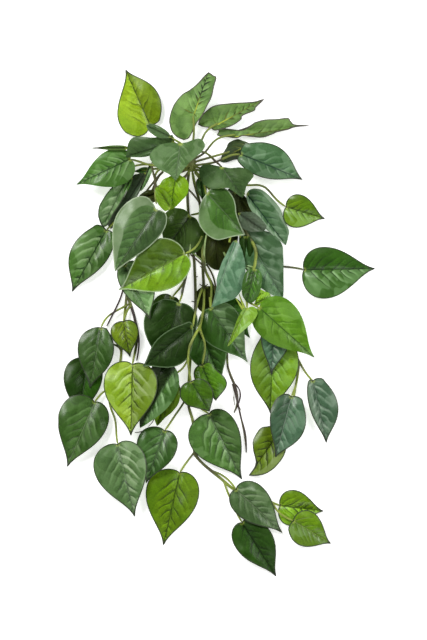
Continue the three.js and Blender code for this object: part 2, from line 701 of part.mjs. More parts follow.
layLeaf({
  name: 'leaf_15', base: [222, 131], tip: [310.8, 125], left: 13.5, right: 11.5, peak: [0.66, 0.4],
  lobe: [-1, 0.6], tone: 'fresh', over: true,
  on: 'crown', seat: [235.5, 134.5], stalk: [[191, 160], [206, 152], [212, 142], [220, 136.5]],
});
layLeaf({
  name: 'leaf_14', base: [200, 122], tip: [264, 98.3], left: 13, right: 19, peak: [0.28, 0.42],
  tone: 'green', over: true,
  on: 'crown', seat: [219, 122.5], stalk: [[191, 157], [201.8, 141.6], [204, 133], [209, 127.5]],
});
layLeaf({
  name: 'leaf_13', base: [184, 140], tip: [212, 72], left: 31, right: 11, peak: [0.28, 0.6],
  blunt: [0, 1], tone: 'green', over: true,
  on: 'crown', seat: [193, 115], stalk: [[190.8, 152], [193.5, 140], [194, 127]],
});
layLeaf({
  name: 'leaf_20', base: [201, 178], tip: [203.5, 203], left: 7, right: 8, fold: [1, 1], tone: 'deep',
  unseen: true,
  on: 'crown', stalk: [[192, 168], [197, 172]],
});
layLeaf({
  name: 'leaf_19', base: [207, 198], tip: [245, 235.5], left: 27, right: 33.5, peak: [0.28, 0.48],
  fold: [-3, -4], tone: 'green',
  on: 'vine_right', stalk: [[203, 179], [205, 188]],
});
layLeaf({
  name: 'leaf_11', base: [168.5, 209.5], tip: [176, 172], left: 21.5, right: 24.5, peak: [0.42, 0.6],
  lobe: [0.2, 0.2], fold: [1, 1], tone: 'lime', under: true,
  on: 'crown', stalk: [[191.3, 167], [186, 176], [177, 190]],
});
layLeaf({
  name: 'leaf_18', base: [222, 167], tip: [243, 197], left: 29.5, right: 41, peak: [0.58, 0.06],
  lobe: [0, 6], fold: [-3, -4], rise: 6, tone: 'grey',
  on: 'crown', stalk: [[191, 157], [198, 151.5], [205, 151], [214, 160]],
});
layLeaf({
  name: 'leaf_05', base: [130.5, 159], tip: [76, 184.6], left: 27, right: 24, fold: [-1, -1],
  tone: 'green',
  on: 'crown', stalk: [[191.2, 165], [170, 167], [149, 165], [138, 161]],
});
layLeaf({
  name: 'leaf_01', base: [149.7, 124.3], tip: [125.2, 68.5], left: 38, right: 28, peak: [0.22, 0.38],
  lobe: [3, 1], tone: 'lime',
  on: 'crown', stalk: [[190.7, 151], [175, 143], [159, 133]],
});
layLeaf({
  name: 'leaf_04', base: [127, 148], tip: [91.7, 148], left: 3.5, right: 3.5, fold: [2, 2],
  tone: 'olive', unseen: true,
  on: 'crown', stalk: [[190.8, 158], [165, 152], [140, 148.5]],
});
layLeaf({
  name: 'leaf_03', base: [174, 143], tip: [125.5, 157], left: 8, right: 22.5, peak: [0.5, 0.72],
  rise: -10, tone: 'deep',
  on: 'crown', stalk: [[190.8, 153], [184, 147]],
});
layLeaf({
  name: 'leaf_02', base: [171.5, 138], tip: [147, 125], left: 7.5, right: 5.5, fold: [4, -3],
  tone: 'grey',
  on: 'crown', stalk: [[190.7, 150], [180, 143]],
});
layLeaf({
  name: 'leaf_12', base: [182, 144.5], tip: [175.6, 181.5], left: 34, right: 41, peak: [0.2, 0.38],
  lobe: [3, 0.3], fold: [-5, -7], rise: 12, tone: 'grey',
  on: 'crown', stalk: [[190.8, 153], [186, 149]],
});

for (const [name, solid] of stems) {
  const mesh = new THREE.Mesh(geometryOf(solid), new THREE.MeshStandardMaterial({
    color: TONES[name === 'crown' ? 'vine' : 'stalk'],
    roughness: 0.55,
    metalness: 0,
  }));
  mesh.name = name;
  bunch.add(mesh);
}

export default bunch;
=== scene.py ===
"""A trailing heart-leaf philodendron: one cut bunch that lies on a pale floor, seen from above.

Metres, +Z up from the floor, +Y towards the crown end of the bunch. Places in the plane are written in
pixels of the photograph and turned into metres by place(). Widths and heights in the tables are in
millimetres, as in the part's source.
"""

import logging
import math
from dataclasses import dataclass
from enum import Enum
from typing import Any, Optional, Sequence, Union

import bpy
import numpy as np
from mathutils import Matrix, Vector, noise


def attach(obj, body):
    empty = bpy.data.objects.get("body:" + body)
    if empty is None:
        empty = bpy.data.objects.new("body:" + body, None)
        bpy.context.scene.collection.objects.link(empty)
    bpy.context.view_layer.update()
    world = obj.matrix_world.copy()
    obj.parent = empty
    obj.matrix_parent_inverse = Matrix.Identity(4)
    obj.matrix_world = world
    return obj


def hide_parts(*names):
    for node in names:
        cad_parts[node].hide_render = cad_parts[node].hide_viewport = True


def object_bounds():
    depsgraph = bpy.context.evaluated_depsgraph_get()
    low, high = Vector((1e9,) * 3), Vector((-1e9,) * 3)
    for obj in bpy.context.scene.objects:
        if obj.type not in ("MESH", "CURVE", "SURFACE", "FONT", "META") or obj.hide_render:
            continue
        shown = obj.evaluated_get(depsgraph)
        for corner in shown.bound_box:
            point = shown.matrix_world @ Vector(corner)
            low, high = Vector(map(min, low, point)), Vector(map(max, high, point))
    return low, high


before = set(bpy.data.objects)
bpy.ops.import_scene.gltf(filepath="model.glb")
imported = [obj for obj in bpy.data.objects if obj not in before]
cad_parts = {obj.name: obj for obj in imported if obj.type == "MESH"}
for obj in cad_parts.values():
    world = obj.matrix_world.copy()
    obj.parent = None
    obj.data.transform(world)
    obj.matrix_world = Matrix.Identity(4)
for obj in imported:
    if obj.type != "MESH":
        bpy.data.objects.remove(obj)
CAD_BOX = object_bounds()

LOG = logging.getLogger("philodendron")
MM = 0.001
SMOOTH_ANGLE = math.radians(50)
Pixel = tuple[float, float]
Pair = tuple[float, float]
Line = Sequence[Pixel]
Colour = tuple[float, float, float]
Socket = bpy.types.NodeSocket

# The bunch in the photograph, in pixels: its top and bottom tips, and the middle of its outline
BUNCH_LENGTH = 0.7
TOP_PIXEL = 68.5
BOTTOM_PIXEL = 577.7
MIDDLE_PIXEL = (216.6, 323.1)
SCALE = BUNCH_LENGTH / (BOTTOM_PIXEL - TOP_PIXEL)
PHOTO_SIZE = (427, 640)


def place(pixel: Pixel) -> Vector:
    """Turns a pixel of the photograph into a place on the floor.

    Args:
        pixel: The pixel, counted from the top left corner of the photograph.

    Returns:
        The place in metres, at height 0.
    """
    x, y = pixel
    return Vector(((x - MIDDLE_PIXEL[0]) * SCALE, (MIDDLE_PIXEL[1] - y) * SCALE, 0))


def paint(code: str) -> Colour:
    """Turns a screen colour into the linear colour that a shader takes.

    Args:
        code: The colour as six hexadecimal digits.

    Returns:
        Red, green and blue from 0 to 1.
    """
    parts = (int(code[i:i + 2], 16) / 255 for i in (0, 2, 4))
    return tuple(((c + 0.055) / 1.055) ** 2.4 if c > 0.04045 else c / 12.92 for c in parts)


def smoothstep(value: np.ndarray, start: float, end: float) -> np.ndarray:
    """A smooth step from 0 at start to 1 at end, for each number of an array."""
    t = np.clip((value - start) / (end - start), 0, 1)
    return t * t * (3 - 2 * t)


def bezier(points: Sequence[Pair], share: np.ndarray) -> np.ndarray:
    """Points of a cubic curve in the plane.

    Args:
        points: Its four control points.
        share: How far along the curve each point is, from 0 to 1.

    Returns:
        An array with one row of x and y for each share.
    """
    t = share[:, None]
    a, b, c, d = (np.array(p, float) for p in points)
    return a * (1 - t) ** 3 + 3 * b * t * (1 - t) ** 2 + 3 * c * t * t * (1 - t) + d * t ** 3


def smooth_line(knots: np.ndarray, share: np.ndarray) -> np.ndarray:
    """A smooth line through points in the plane.

    Args:
        knots: The points, one a row.
        share: How far along the line each wanted point is, from 0 to 1.

    Returns:
        An array with one row of x and y for each share.
    """
    steps = np.linalg.norm(np.diff(knots, axis=0), axis=1)
    at = np.concatenate([[0.0], np.cumsum(steps)]) / steps.sum()
    slope = np.gradient(knots, at, axis=0)
    i = np.clip(np.searchsorted(at, share, side="right") - 1, 0, len(at) - 2)
    reach = (at[i + 1] - at[i])[:, None]
    t = (share - at[i])[:, None] / reach
    ends = (1 + 2 * t) * (1 - t) ** 2 * knots[i] + t * t * (3 - 2 * t) * knots[i + 1]
    return ends + t * (1 - t) * reach * ((1 - t) * slope[i] - t * slope[i + 1])


def points_of(mesh: bpy.types.Mesh) -> np.ndarray:
    """Reads where the points of a mesh are.

    Args:
        mesh: The mesh.

    Returns:
        An array with one row of x, y and z for each point.
    """
    flat = np.empty(len(mesh.vertices) * 3)
    mesh.vertices.foreach_get("co", flat)
    return flat.reshape(-1, 3)


def write_triples(mesh: bpy.types.Mesh, name: str, *parts: np.ndarray) -> None:
    """Stores three numbers for each point of a mesh, for its shader to read.

    Args:
        mesh: The mesh.
        name: The attribute's name.
        parts: Its three arrays.
    """
    attribute = mesh.attributes.new(name, "FLOAT_VECTOR", "POINT")
    attribute.data.foreach_set("vector", np.stack(parts, axis=1).astype(np.float32).ravel())


# Shader maths

Number = Union["Value", float]


@dataclass(frozen=True)
class Value:
    """A number that an output socket of a node tree gives. Expressions on values add Math nodes."""

    tree: "NodeTree"
    socket: Socket

    def maths(self, operation: str, *operands: Number) -> "Value":
        """Adds one Math node.

        Args:
            operation: The node's operation.
            operands: Its inputs, in order.

        Returns:
            The node's result.
        """
        made = self.tree.node("ShaderNodeMath", {"operation": operation}, dict(enumerate(operands)))
        return Value(self.tree, made.outputs[0])

    def __add__(self, other: Number) -> "Value":
        """Sum."""
        return self.maths("ADD", self, other)

    def __radd__(self, other: float) -> "Value":
        """Sum with a number in front."""
        return self.maths("ADD", other, self)

    def __sub__(self, other: Number) -> "Value":
        """Difference."""
        return self.maths("SUBTRACT", self, other)

    def __rsub__(self, other: float) -> "Value":
        """Difference from a number in front."""
        return self.maths("SUBTRACT", other, self)

    def __mul__(self, other: Number) -> "Value":
        """Product."""
        return self.maths("MULTIPLY", self, other)

    def __rmul__(self, other: float) -> "Value":
        """Product with a number in front."""
        return self.maths("MULTIPLY", other, self)

    def distance_to_whole(self) -> "Value":
        """How far the value is from the nearest whole number, from 0 to 0.5."""
        return self.maths("PINGPONG", self, 0.5)

    def size(self) -> "Value":
        """The value without its sign."""
        return self.maths("ABSOLUTE", self)

    def whole(self, operation: str) -> "Value":
        """The value made whole by ROUND or FLOOR."""
        return self.maths(operation, self)

    def lot(self) -> "Value":
        """A number from 0 to 1 drawn for the value: the same for the same whole number."""
        made = self.tree.node("ShaderNodeTexWhiteNoise", {"noise_dimensions": "1D"}, {"W": self})
        return Value(self.tree, made.outputs["Value"])

    def ramp(self, start: float, end: float) -> "Value":
        """A smooth step of the value.

        Args:
            start: Where the result is 0.
            end: Where the result is 1. It may be below start.

        Returns:
            The step, from 0 to 1.
        """
        low, high = min(start, end), max(start, end)
        ends = (0.0, 1.0) if start < end else (1.0, 0.0)
        made = self.tree.node(
            "ShaderNodeMapRange", {"interpolation_type": "SMOOTHSTEP"},
            {"Value": self, "From Min": low, "From Max": high, "To Min": ends[0], "To Max": ends[1]},
        )
        return Value(self.tree, made.outputs[0])


@dataclass
class NodeTree:
    """The nodes of a material or of the world."""

    tree: bpy.types.NodeTree

    def node(self, kind: str, settings: dict[str, Any], sockets: dict[Any, Any]) -> bpy.types.Node:
        """Adds a node.

        Args:
            kind: The node's type.
            settings: Its properties, which are set first.
            sockets: Values or links for its inputs, by name or number.

        Returns:
            The node.
        """
        made = self.tree.nodes.new(kind)
        for name, setting in settings.items():
            setattr(made, name, setting)
        for name, value in sockets.items():
            self.feed(made.inputs[name], value)
        return made

    def feed(self, socket: Socket, value: Any) -> None:
        """Gives an input its value or its link.

        Args:
            socket: The input.
            value: A Value, an output socket, a number or a colour.
        """
        if isinstance(value, Value):
            value = value.socket
        if isinstance(value, Socket):
            self.tree.links.new(value, socket)
        elif isinstance(value, tuple):
            socket.default_value = (*value, 1.0) if len(socket.default_value) == 4 else value
        else:
            socket.default_value = value


class Shader(NodeTree):
    """A material's node tree, with one method for each kind of thing it holds."""

    def __init__(self, name: str) -> None:
        """Makes the material with a bare principled surface.

        Args:
            name: The material's name.
        """
        self.material = bpy.data.materials.new(name)
        self.material.use_nodes = True
        super().__init__(self.material.node_tree)
        self.surface = self.tree.nodes["Principled BSDF"]

    def parts(self, name: str) -> list[Value]:
        """Reads a vector attribute of the mesh.

        Args:
            name: The attribute's name.

        Returns:
            Its three numbers.
        """
        read = self.node("ShaderNodeAttribute", {"attribute_name": name}, {})
        split = self.node("ShaderNodeSeparateXYZ", {}, {0: read.outputs["Vector"]})
        return [Value(self, out) for out in split.outputs]

    def cloud(self, size: float, detail: float = 2.0) -> Value:
        """Noise on the piece's own coordinates.

        Args:
            size: Size of its patches, in metres.
            detail: How many finer layers it has.

        Returns:
            The noise, from about 0.3 to 0.7.
        """
        where = self.node("ShaderNodeTexCoord", {}, {})
        made = self.node(
            "ShaderNodeTexNoise", {},
            {"Vector": where.outputs["Object"], "Scale": 1 / size, "Detail": detail, "Roughness": 0.55},
        )
        return Value(self, made.outputs["Fac"])

    def streaks(self, across: Value, along: Value, seed: Value) -> Value:
        """Noise that is drawn out along the side veins.

        Args:
            across: A number that runs across the veins.
            along: A number that runs along them.
            seed: A number that is each piece's own.

        Returns:
            The noise, from about 0.3 to 0.7.
        """
        where = self.node("ShaderNodeCombineXYZ", {}, {0: across, 1: along, 2: seed})
        made = self.node("ShaderNodeTexNoise", {},
                         {"Vector": where.outputs[0], "Scale": 1.0, "Detail": 2.0, "Roughness": 0.5})
        return Value(self, made.outputs["Fac"])

    def blend(self, share: Any, first: Any, second: Any) -> Socket:
        """Mixes two colours.

        Args:
            share: How much of the second there is, from 0 to 1.
            first: The colour where the share is 0.
            second: The colour where it is 1.

        Returns:
            The mixed colour.
        """
        made = self.node("ShaderNodeMix", {"data_type": "RGBA"}, {0: share, 6: first, 7: second})
        return made.outputs[2]

    def scaled(self, colour: Socket, amount: Value) -> Socket:
        """A colour made lighter or darker by a number."""
        made = self.node("ShaderNodeVectorMath", {"operation": "SCALE"}, {0: colour, "Scale": amount})
        return made.outputs[0]

    def relief(self, height: Value, depth: float, strength: float) -> None:
        """Gives the surface a bump.

        Args:
            height: The relief, from about 0 to 1.
            depth: What 1 stands for, in metres.
            strength: The Bump node's strength.
        """
        made = self.node("ShaderNodeBump", {}, {"Height": height, "Distance": depth, "Strength": strength})
        self.feed(self.surface.inputs["Normal"], made.outputs["Normal"])

    def finish(self, **sockets: Any) -> bpy.types.Material:
        """Feeds the surface's sockets and gives the material back.

        Args:
            sockets: Values by socket name, with an underscore for each space.

        Returns:
            The material.
        """
        for name, value in sockets.items():
            self.feed(self.surface.inputs[name.replace("_", " ")], value)
        return self.material


# Finishes


class LeafShader(Shader):
    """A blade's node tree, with the masks that its ribs, veins and margin need.

    The masks are worked out from the attributes that a Blade writes on its mesh. Each LINE pair says how
    many millimetres from the middle of a line it starts to show, and where it is full.
    """

    RIB_LINE = (1.1, 0.45)
    SIDE_VEIN_LINE = (0.85, 0.15)
    STROKE_LINE = (1.7, 0.5)
    MARGIN_LINE = (1.9, 1.1)
    PATCH_SIZE = 32 * MM
    MOTTLE_SIZE = 6 * MM
    GRAIN_SIZE = 1.6 * MM
    PAINTED_FACET_SIZE = 21 * MM
    VEINS_A_LEAF = 17
    FIELD_LOTS = 400

    def __init__(self, name: str) -> None:
        """Reads the attributes and works the masks out.

        Args:
            name: The material's name.
        """
        super().__init__(name)
        self.along, self.margin, self.stalk = self.parts("lamina")
        phase, spacing, out = self.parts("veins")
        # Each half's tone with its painted light and shade, its painted sheen, and how pale its veins are
        self.tone_and_painted_light, self.painted_sheen, self.pale = self.parts("look")
        self.gloss, number, self.veining = self.parts("skin")
        # The margin's line, the share of the half width, and where a painted light band starts
        self.edge, share, light_band_start = self.parts("rim")
        middle = out.size()
        self.patches = self.cloud(self.PATCH_SIZE, 3)
        self.mottle = self.cloud(self.MOTTLE_SIZE, 3)
        self.grain = self.cloud(self.GRAIN_SIZE, 3)
        # Crisp patches of painted light and shade, as on buckled facets; they also raise the bump a little
        self.painted_facet_light = self.cloud(self.PAINTED_FACET_SIZE, 1).ramp(0.47, 0.53)

        # Side veins sit where the count is whole. Each has a reach of its own, and some are bold strokes
        count = phase + (self.mottle - 0.5) * 0.2
        draw = number.whole("ROUND") * self.VEINS_A_LEAF
        reach = (count.whole("ROUND") + draw).lot() * 0.6 + 0.2
        off_vein = count.distance_to_whole() * spacing
        self.side_vein = off_vein.ramp(*self.SIDE_VEIN_LINE) * (reach - share).ramp(0.0, 0.3)
        self.stroke = off_vein.ramp(*self.STROKE_LINE) * (reach * 0.7 - share).ramp(0.0, 0.15)
        self.rib = (middle + self.along * 0.4 + (self.mottle - 0.5) * 1.6).ramp(*self.RIB_LINE)

        # Painted light and shade: a field between two veins is lighter on its near side, darker on its far
        # side
        after = count.maths("FRACT", count)
        lit = (count.whole("FLOOR") + draw + self.FIELD_LOTS).lot() * 0.9 + 0.2
        field_middle = share.ramp(0.02, 0.12) * share.ramp(1.0, 0.5)
        near_side = after.ramp(0.02, 0.12) * after.ramp(0.5, 0.14)
        self.painted_ridge_light = near_side * lit * field_middle * share.ramp(1.0, 0.1)
        self.painted_hollow_shade = after.ramp(0.6, 0.95) * field_middle * share.ramp(1.1, 0.3)
        # Streaks near the rib: painted light and shade of crinkles, which the bump also raises
        self.crinkle_and_painted_light = self.streaks(phase * 4.0, out * 0.25, number).ramp(0.42, 0.6) * middle.ramp(15.0, 2.0)
        # Painted light: a lighter band beyond the share where the margin turns up
        self.painted_band_light = (share - light_band_start + (self.patches - 0.5) * 0.3).ramp(-0.03, 0.03)

    def face(self, face: str, shadow: str, patches: Pair) -> Socket:
        """Lays the blade's two main colours in large patches.

        Args:
            face: The light colour.
            shadow: The dark one.
            patches: Where in the noise the dark one starts and is full.

        Returns:
            The colour.
        """
        return self.blend(self.patches.ramp(*patches), paint(face), paint(shadow))

    def lines(self, colour: Socket, dark: str, pale: str, strength: float) -> Socket:
        """Draws the rib and the side veins.

        Args:
            colour: The colour of the blade.
            dark: Colour of dark veins.
            pale: Colour of pale ones.
            strength: How strong the side veins are.

        Returns:
            The colour with the veins on it.
        """
        side_tint = self.blend(self.pale * 0.45, paint(dark), paint(pale))
        colour = self.blend(self.side_vein * self.veining * strength, colour, side_tint)
        bold = self.stroke * (1.0 - self.pale) * self.veining * 0.7
        colour = self.blend(bold, colour, paint(dark))
        tint = self.blend(self.pale, paint(dark), paint(pale))
        return self.blend(self.rib * (0.9 - self.pale * 0.3), colour, tint)

    def rimmed(self, colour: Socket, dark: str, pale: str) -> Socket:
        """Draws the margin: dark where the blade's edge is 1, pale where it is -1, bare where it is 0.

        Args:
            colour: The colour of the blade.
            dark: Colour of a dark margin.
            pale: Colour of a pale one.

        Returns:
            The colour with the margin on it.
        """
        line = self.margin.ramp(*self.MARGIN_LINE)
        colour = self.blend(line * self.edge.ramp(0.0, 1.0) * 0.92, colour, paint(dark))
        return self.blend(line * self.edge.ramp(0.0, -1.0) * 0.5, colour, paint(pale))


@dataclass(frozen=True)
class LeafFinish:
    """The upper face of a blade: satin, dark or pale veins, painted light, shade and sheen, a thin dark
    margin.
    """

    name: str
    slot: str
    face: str
    shadow: str
    # Colour of the painted sheen
    painted_sheen: str
    dark_vein: str
    pale_vein: str
    margin: str = "30352a"
    pale_margin: str = "b4c4a4"
    stalk_spot: str = "a9bd54"
    sheen: str = "b4dc8c"
    roughness: float = 0.31
    relief: float = 0.7 * MM

    def material(self) -> bpy.types.Material:
        """Makes the material.

        Returns:
            The material, which reads the attributes that a Blade writes.
        """
        shader = LeafShader(self.name)
        mottle, grain, painted_ridge_light, crinkle_and_painted_light = shader.mottle, shader.grain, shader.painted_ridge_light, shader.crinkle_and_painted_light
        colour = shader.face(self.face, self.shadow, (0.4, 0.62))
        colour = shader.blend(mottle.ramp(0.45, 0.7) * 0.35, colour, paint(self.shadow))
        # Painted light and shade: lit near sides of fields, shaded far sides, crinkles and facets
        lightness = painted_ridge_light * 0.5 - shader.painted_hollow_shade * 0.26 + crinkle_and_painted_light * 0.26
        cloudy = (grain - 0.5) * 0.8 + (mottle - 0.5) * 0.6 + (shader.patches - 0.5) * 0.9
        colour = shader.scaled(colour, lightness * shader.veining + shader.painted_facet_light * 0.17 + cloudy + 0.84)
        # Painted sheen on the lit fields and facets, and a painted lighter band where the margin turns up
        painted_sheen_amount = shader.painted_sheen * (painted_ridge_light * shader.veining * 1.8 + shader.painted_facet_light * 0.4 + 0.1)
        painted_curl_light = shader.painted_band_light * (shader.patches * 1.1 - mottle * 0.3)
        colour = shader.blend(painted_sheen_amount + painted_curl_light, colour, paint(self.painted_sheen))
        colour = shader.lines(colour, self.dark_vein, self.pale_vein, 0.85)
        # Painted light and shade of each half, together with the leaf's own tone
        colour = shader.scaled(colour, shader.tone_and_painted_light)
        colour = shader.blend(shader.stalk.ramp(5.0, 1.0) * 0.75, colour, paint(self.stalk_spot))
        colour = shader.rimmed(colour, self.margin, self.pale_margin)

        grooves = (painted_ridge_light * 0.35 - shader.side_vein * 0.7 + crinkle_and_painted_light * 0.9) * shader.veining
        height = grooves - shader.rib * 0.9 + grain * 0.35 + mottle * 0.5 + shader.painted_facet_light * 0.2
        shader.relief(height, self.relief, 0.85)
        return shader.finish(
            Base_Color=colour, Roughness=mottle * 0.3 + self.roughness + shader.rib * 0.1,
            Specular_IOR_Level=0.3, Specular_Tint=paint(self.sheen),
            Coat_Weight=shader.gloss * (mottle * 0.6 + 0.7), Coat_Roughness=0.26,
        )


@dataclass(frozen=True)
class UndersideFinish:
    """The under face of a blade: paler and duller, with a yellow-green rib near the stalk."""

    name: str
    face: str
    shadow: str
    # Colour of the painted sheen
    painted_sheen: str
    rib: str
    vein: str
    margin: str = "4c4440"
    roughness: float = 0.45
    relief: float = 0.6 * MM

    def material(self) -> bpy.types.Material:
        """Makes the material.

        Returns:
            The material, which reads the attributes that a Blade writes.
        """
        shader = LeafShader(self.name)
        mottle, grain, painted_ridge_light = shader.mottle, shader.grain, shader.painted_ridge_light
        # Painted light and shade between the veins, on crinkles and on facets
        lightness = painted_ridge_light * 0.45 - shader.painted_hollow_shade * 0.3 + shader.crinkle_and_painted_light * 0.3
        cloudy = (grain - 0.5) * 0.8 + (mottle - 0.5) * 0.6
        colour = shader.face(self.face, self.shadow, (0.38, 0.66))
        colour = shader.scaled(colour, lightness + shader.painted_facet_light * 0.17 + cloudy + 0.88)
        # Painted sheen on the lit fields and facets
        painted_sheen_amount = shader.painted_sheen * (painted_ridge_light + shader.painted_facet_light * 0.4 + 0.1)
        colour = shader.blend(painted_sheen_amount, colour, paint(self.painted_sheen))
        colour = shader.lines(colour, self.vein, self.rib, 0.95)
        # Painted light and shade of each half, together with the leaf's own tone
        colour = shader.scaled(colour, shader.tone_and_painted_light)
        glow = (shader.rib * 0.9 + shader.side_vein * 0.35) * shader.stalk.ramp(30.0, 8.0)
        colour = shader.blend(glow, colour, paint(self.rib))
        colour = shader.rimmed(colour, self.margin, self.painted_sheen)
        height = shader.rib + shader.side_vein * 0.5 + mottle * 0.5 + grain * 0.3 + shader.crinkle_and_painted_light * 0.7
        shader.relief(height, self.relief, 0.8)
        return shader.finish(Base_Color=colour, Roughness=mottle * 0.2 + self.roughness,
                             Specular_IOR_Level=0.3)


@dataclass(frozen=True)
class StemFinish:
    """Stems, stalks and roots: yellow-green where young, olive and purple-brown where old."""

    name: str
    young: str
    green: str
    old: str
    root: str
    aged: str = "40412a"
    roughness: float = 0.35
    relief: float = 0.35 * MM

    def material(self) -> bpy.types.Material:
        """Makes the material.

        Returns:
            The material, which reads the attribute that a Stem writes.
        """
        shader = Shader(self.name)
        root, young, aged = shader.parts("growth")
        patches = shader.cloud(35 * MM, 2)
        streaks = shader.cloud(3.5 * MM, 3)
        grain = shader.cloud(0.8 * MM, 2)
        colour = shader.blend(patches.ramp(0.42, 0.62), paint(self.green), paint(self.old))
        colour = shader.blend(young, colour, paint(self.young))
        colour = shader.blend(aged * 0.85, colour, paint(self.aged))
        colour = shader.blend(root, colour, paint(self.root))
        colour = shader.blend(streaks.ramp(0.5, 0.75) * 0.45, colour, paint(self.old))
        shader.relief(streaks * 0.8 + grain * 0.4, self.relief, 0.8)
        return shader.finish(Base_Color=colour, Roughness=streaks * 0.3 + self.roughness,
                             Specular_IOR_Level=0.4)


@dataclass(frozen=True)
class PlainFinish:
    """A finish of two near colours in soft clouds, for rims and for the floor."""

    name: str
    light: str
    dark: str
    patch: float
    roughness: float
    glow: float = 0.0

    def material(self) -> bpy.types.Material:
        """Makes the material.

        Returns:
            The material.
        """
        shader = Shader(self.name)
        cloud = shader.cloud(self.patch, 3)
        colour = shader.blend(cloud.ramp(0.35, 0.65), paint(self.light), paint(self.dark))
        return shader.finish(
            Base_Color=colour, Roughness=cloud * 0.1 + self.roughness, Specular_IOR_Level=0.3,
            Emission_Color=(1.0, 1.0, 1.0), Emission_Strength=self.glow,
        )


class Tone(Enum):
    """The leaf colours of the bunch, from young to old."""

    # Colours of each tone: light face, dark face, painted sheen, dark vein and pale vein
    LIME = LeafFinish("leaf_lime_face", "leaf_lime", "7ba511", "638d0c", "98b87c", "46601a", "b4cc74")
    LEMON = LeafFinish("leaf_lemon_face", "leaf_lime", "8caa10", "70900b", "a6bb76", "45561a", "bccc74")
    FRESH = LeafFinish("leaf_fresh_face", "leaf_fresh", "5a8e0e", "467609", "96b967", "32541a", "9cbc6c")
    GREEN = LeafFinish("leaf_green_face", "leaf_green", "4d7e2a", "3d6920", "9ab982", "2c4a22", "9cb884")
    DEEP = LeafFinish("leaf_deep_face", "leaf_deep", "315d12", "254d0d", "89aa77", "1c3414", "86a476",
                      pale_margin="6c8460")
    BLUE = LeafFinish("leaf_blue_green_face", "leaf_blue_green", "4c7949", "3c653a", "a0b99b", "28483a",
                      "a4bca0")
    GREY = LeafFinish("leaf_grey_green_face", "leaf_grey_green", "587d43", "4a6d39", "a2b78f", "385434",
                      "a4b890")
    OLIVE = LeafFinish("leaf_olive_face", "leaf_olive", "2d450e", "213608", "7b9263", "161f0e", "7c9060")
    SLATE = LeafFinish("leaf_slate_face", "leaf_blue_green", "4e7757", "406648", "a2b8a0", "2a463c",
                       "a8bca8")
    UMBER = LeafFinish("leaf_umber_face", "leaf_olive", "33380f", "22260a", "6c7450", "14160a", "5c6038")
    DUSK = LeafFinish("leaf_dusk_face", "leaf_olive", "4c5e48", "3a4636", "8a9480", "22241c", "74806c")


class Bark(Enum):
    """The skins of the sprigs."""

    FRESH = StemFinish("sprig_fresh_skin", "c4d468", "b4c850", "98a844", "5c5030")
    PALE = StemFinish("sprig_pale_skin", "b4c88c", "9cb474", "7c9054", "5c5030")
    OLD = StemFinish("sprig_old_skin", "5c5c30", "4c4c28", "3c3424", "3c3028")


# Underside colours: light face, dark face, painted sheen, rib and vein
UNDER_FINISH = UndersideFinish("leaf_underside", "6c9440", "4e742c", "a4bf84", "b0c040", "20340c")
RIM_FINISH = PlainFinish("leaf_rim", "54493c", "3c3630", 0.01, 0.5)
STEM_FINISH = StemFinish("stem_skin", "8c9c3c", "667430", "48482a", "3c2f30")
CROWN_FINISH = StemFinish("crown_bark", "7c8a38", "5e6a2e", "3e3d26", "3c2c2e", "3c2c2c", 0.45)

# Each finish's material, made once by mix_finishes()
MATERIALS: dict[Any, bpy.types.Material] = {}


class Ribs(Enum):
    """How light the veins of a blade are beside its face: the share of the pale vein colour."""

    DARK = 0.0
    FAINT = 0.4
    PALE = 1.0


class Edge(Enum):
    """The line along the margin of a blade."""

    DARK = 1.0
    BARE = 0.0
    PALE = -1.0


# Blades

BLADE_THICKNESS = 0.55 * MM
ROWS = 44
COLUMNS = 24
WELD = 0.01 * MM

# The plain outline: the share of its points that the lobe takes, and where its half width is greatest
SHARE_OF_LOBE = 0.42
PLAIN_PEAK = 0.28
MARGIN_STEPS = 121

# How the grid's rows crowd towards the stalk, bend with the margin and keep off the rib
RIB_CROWDING = 1.35
RIB_PULL = 0.3
INNER_WIDTH = 0.6

# Millimetres: the cup of each half, the width of the drip tip, the channel at the rib and the buckling
CUP = 10.0
DRIP_TIP = 0.55
CHANNEL_DEPTH = 0.55
CHANNEL_WIDTH = 1.6
BUCKLING = 2.4

# Shares of the rib's length between two side veins, and how much that differs among leaves
VEIN_SPACING = 0.15
VEIN_SPACING_RANGE = 0.015

# The lean of side veins towards the tip: at the stalk, and what the tip and the margin add to it. Behind the
# stalk the veins fan out, with this many to a radian
LEAN = 0.7
LEAN_AT_TIP = 0.35
LEAN_AT_MARGIN = 0.5
VEINS_A_RADIAN = 1.15

# Smooth irregular patterns over a blade: the size of each in millimetres, and its seed
VEIN_WAVES = (19, 3.1)
VEIN_TREMBLE = (8, 4.1)
FIELD_WAVES = (28, 7.7)
BUCKLE_WAVES = (25, 5.3)

# How far inside the box of the frame each point stays
SKIN = 0.4 * MM


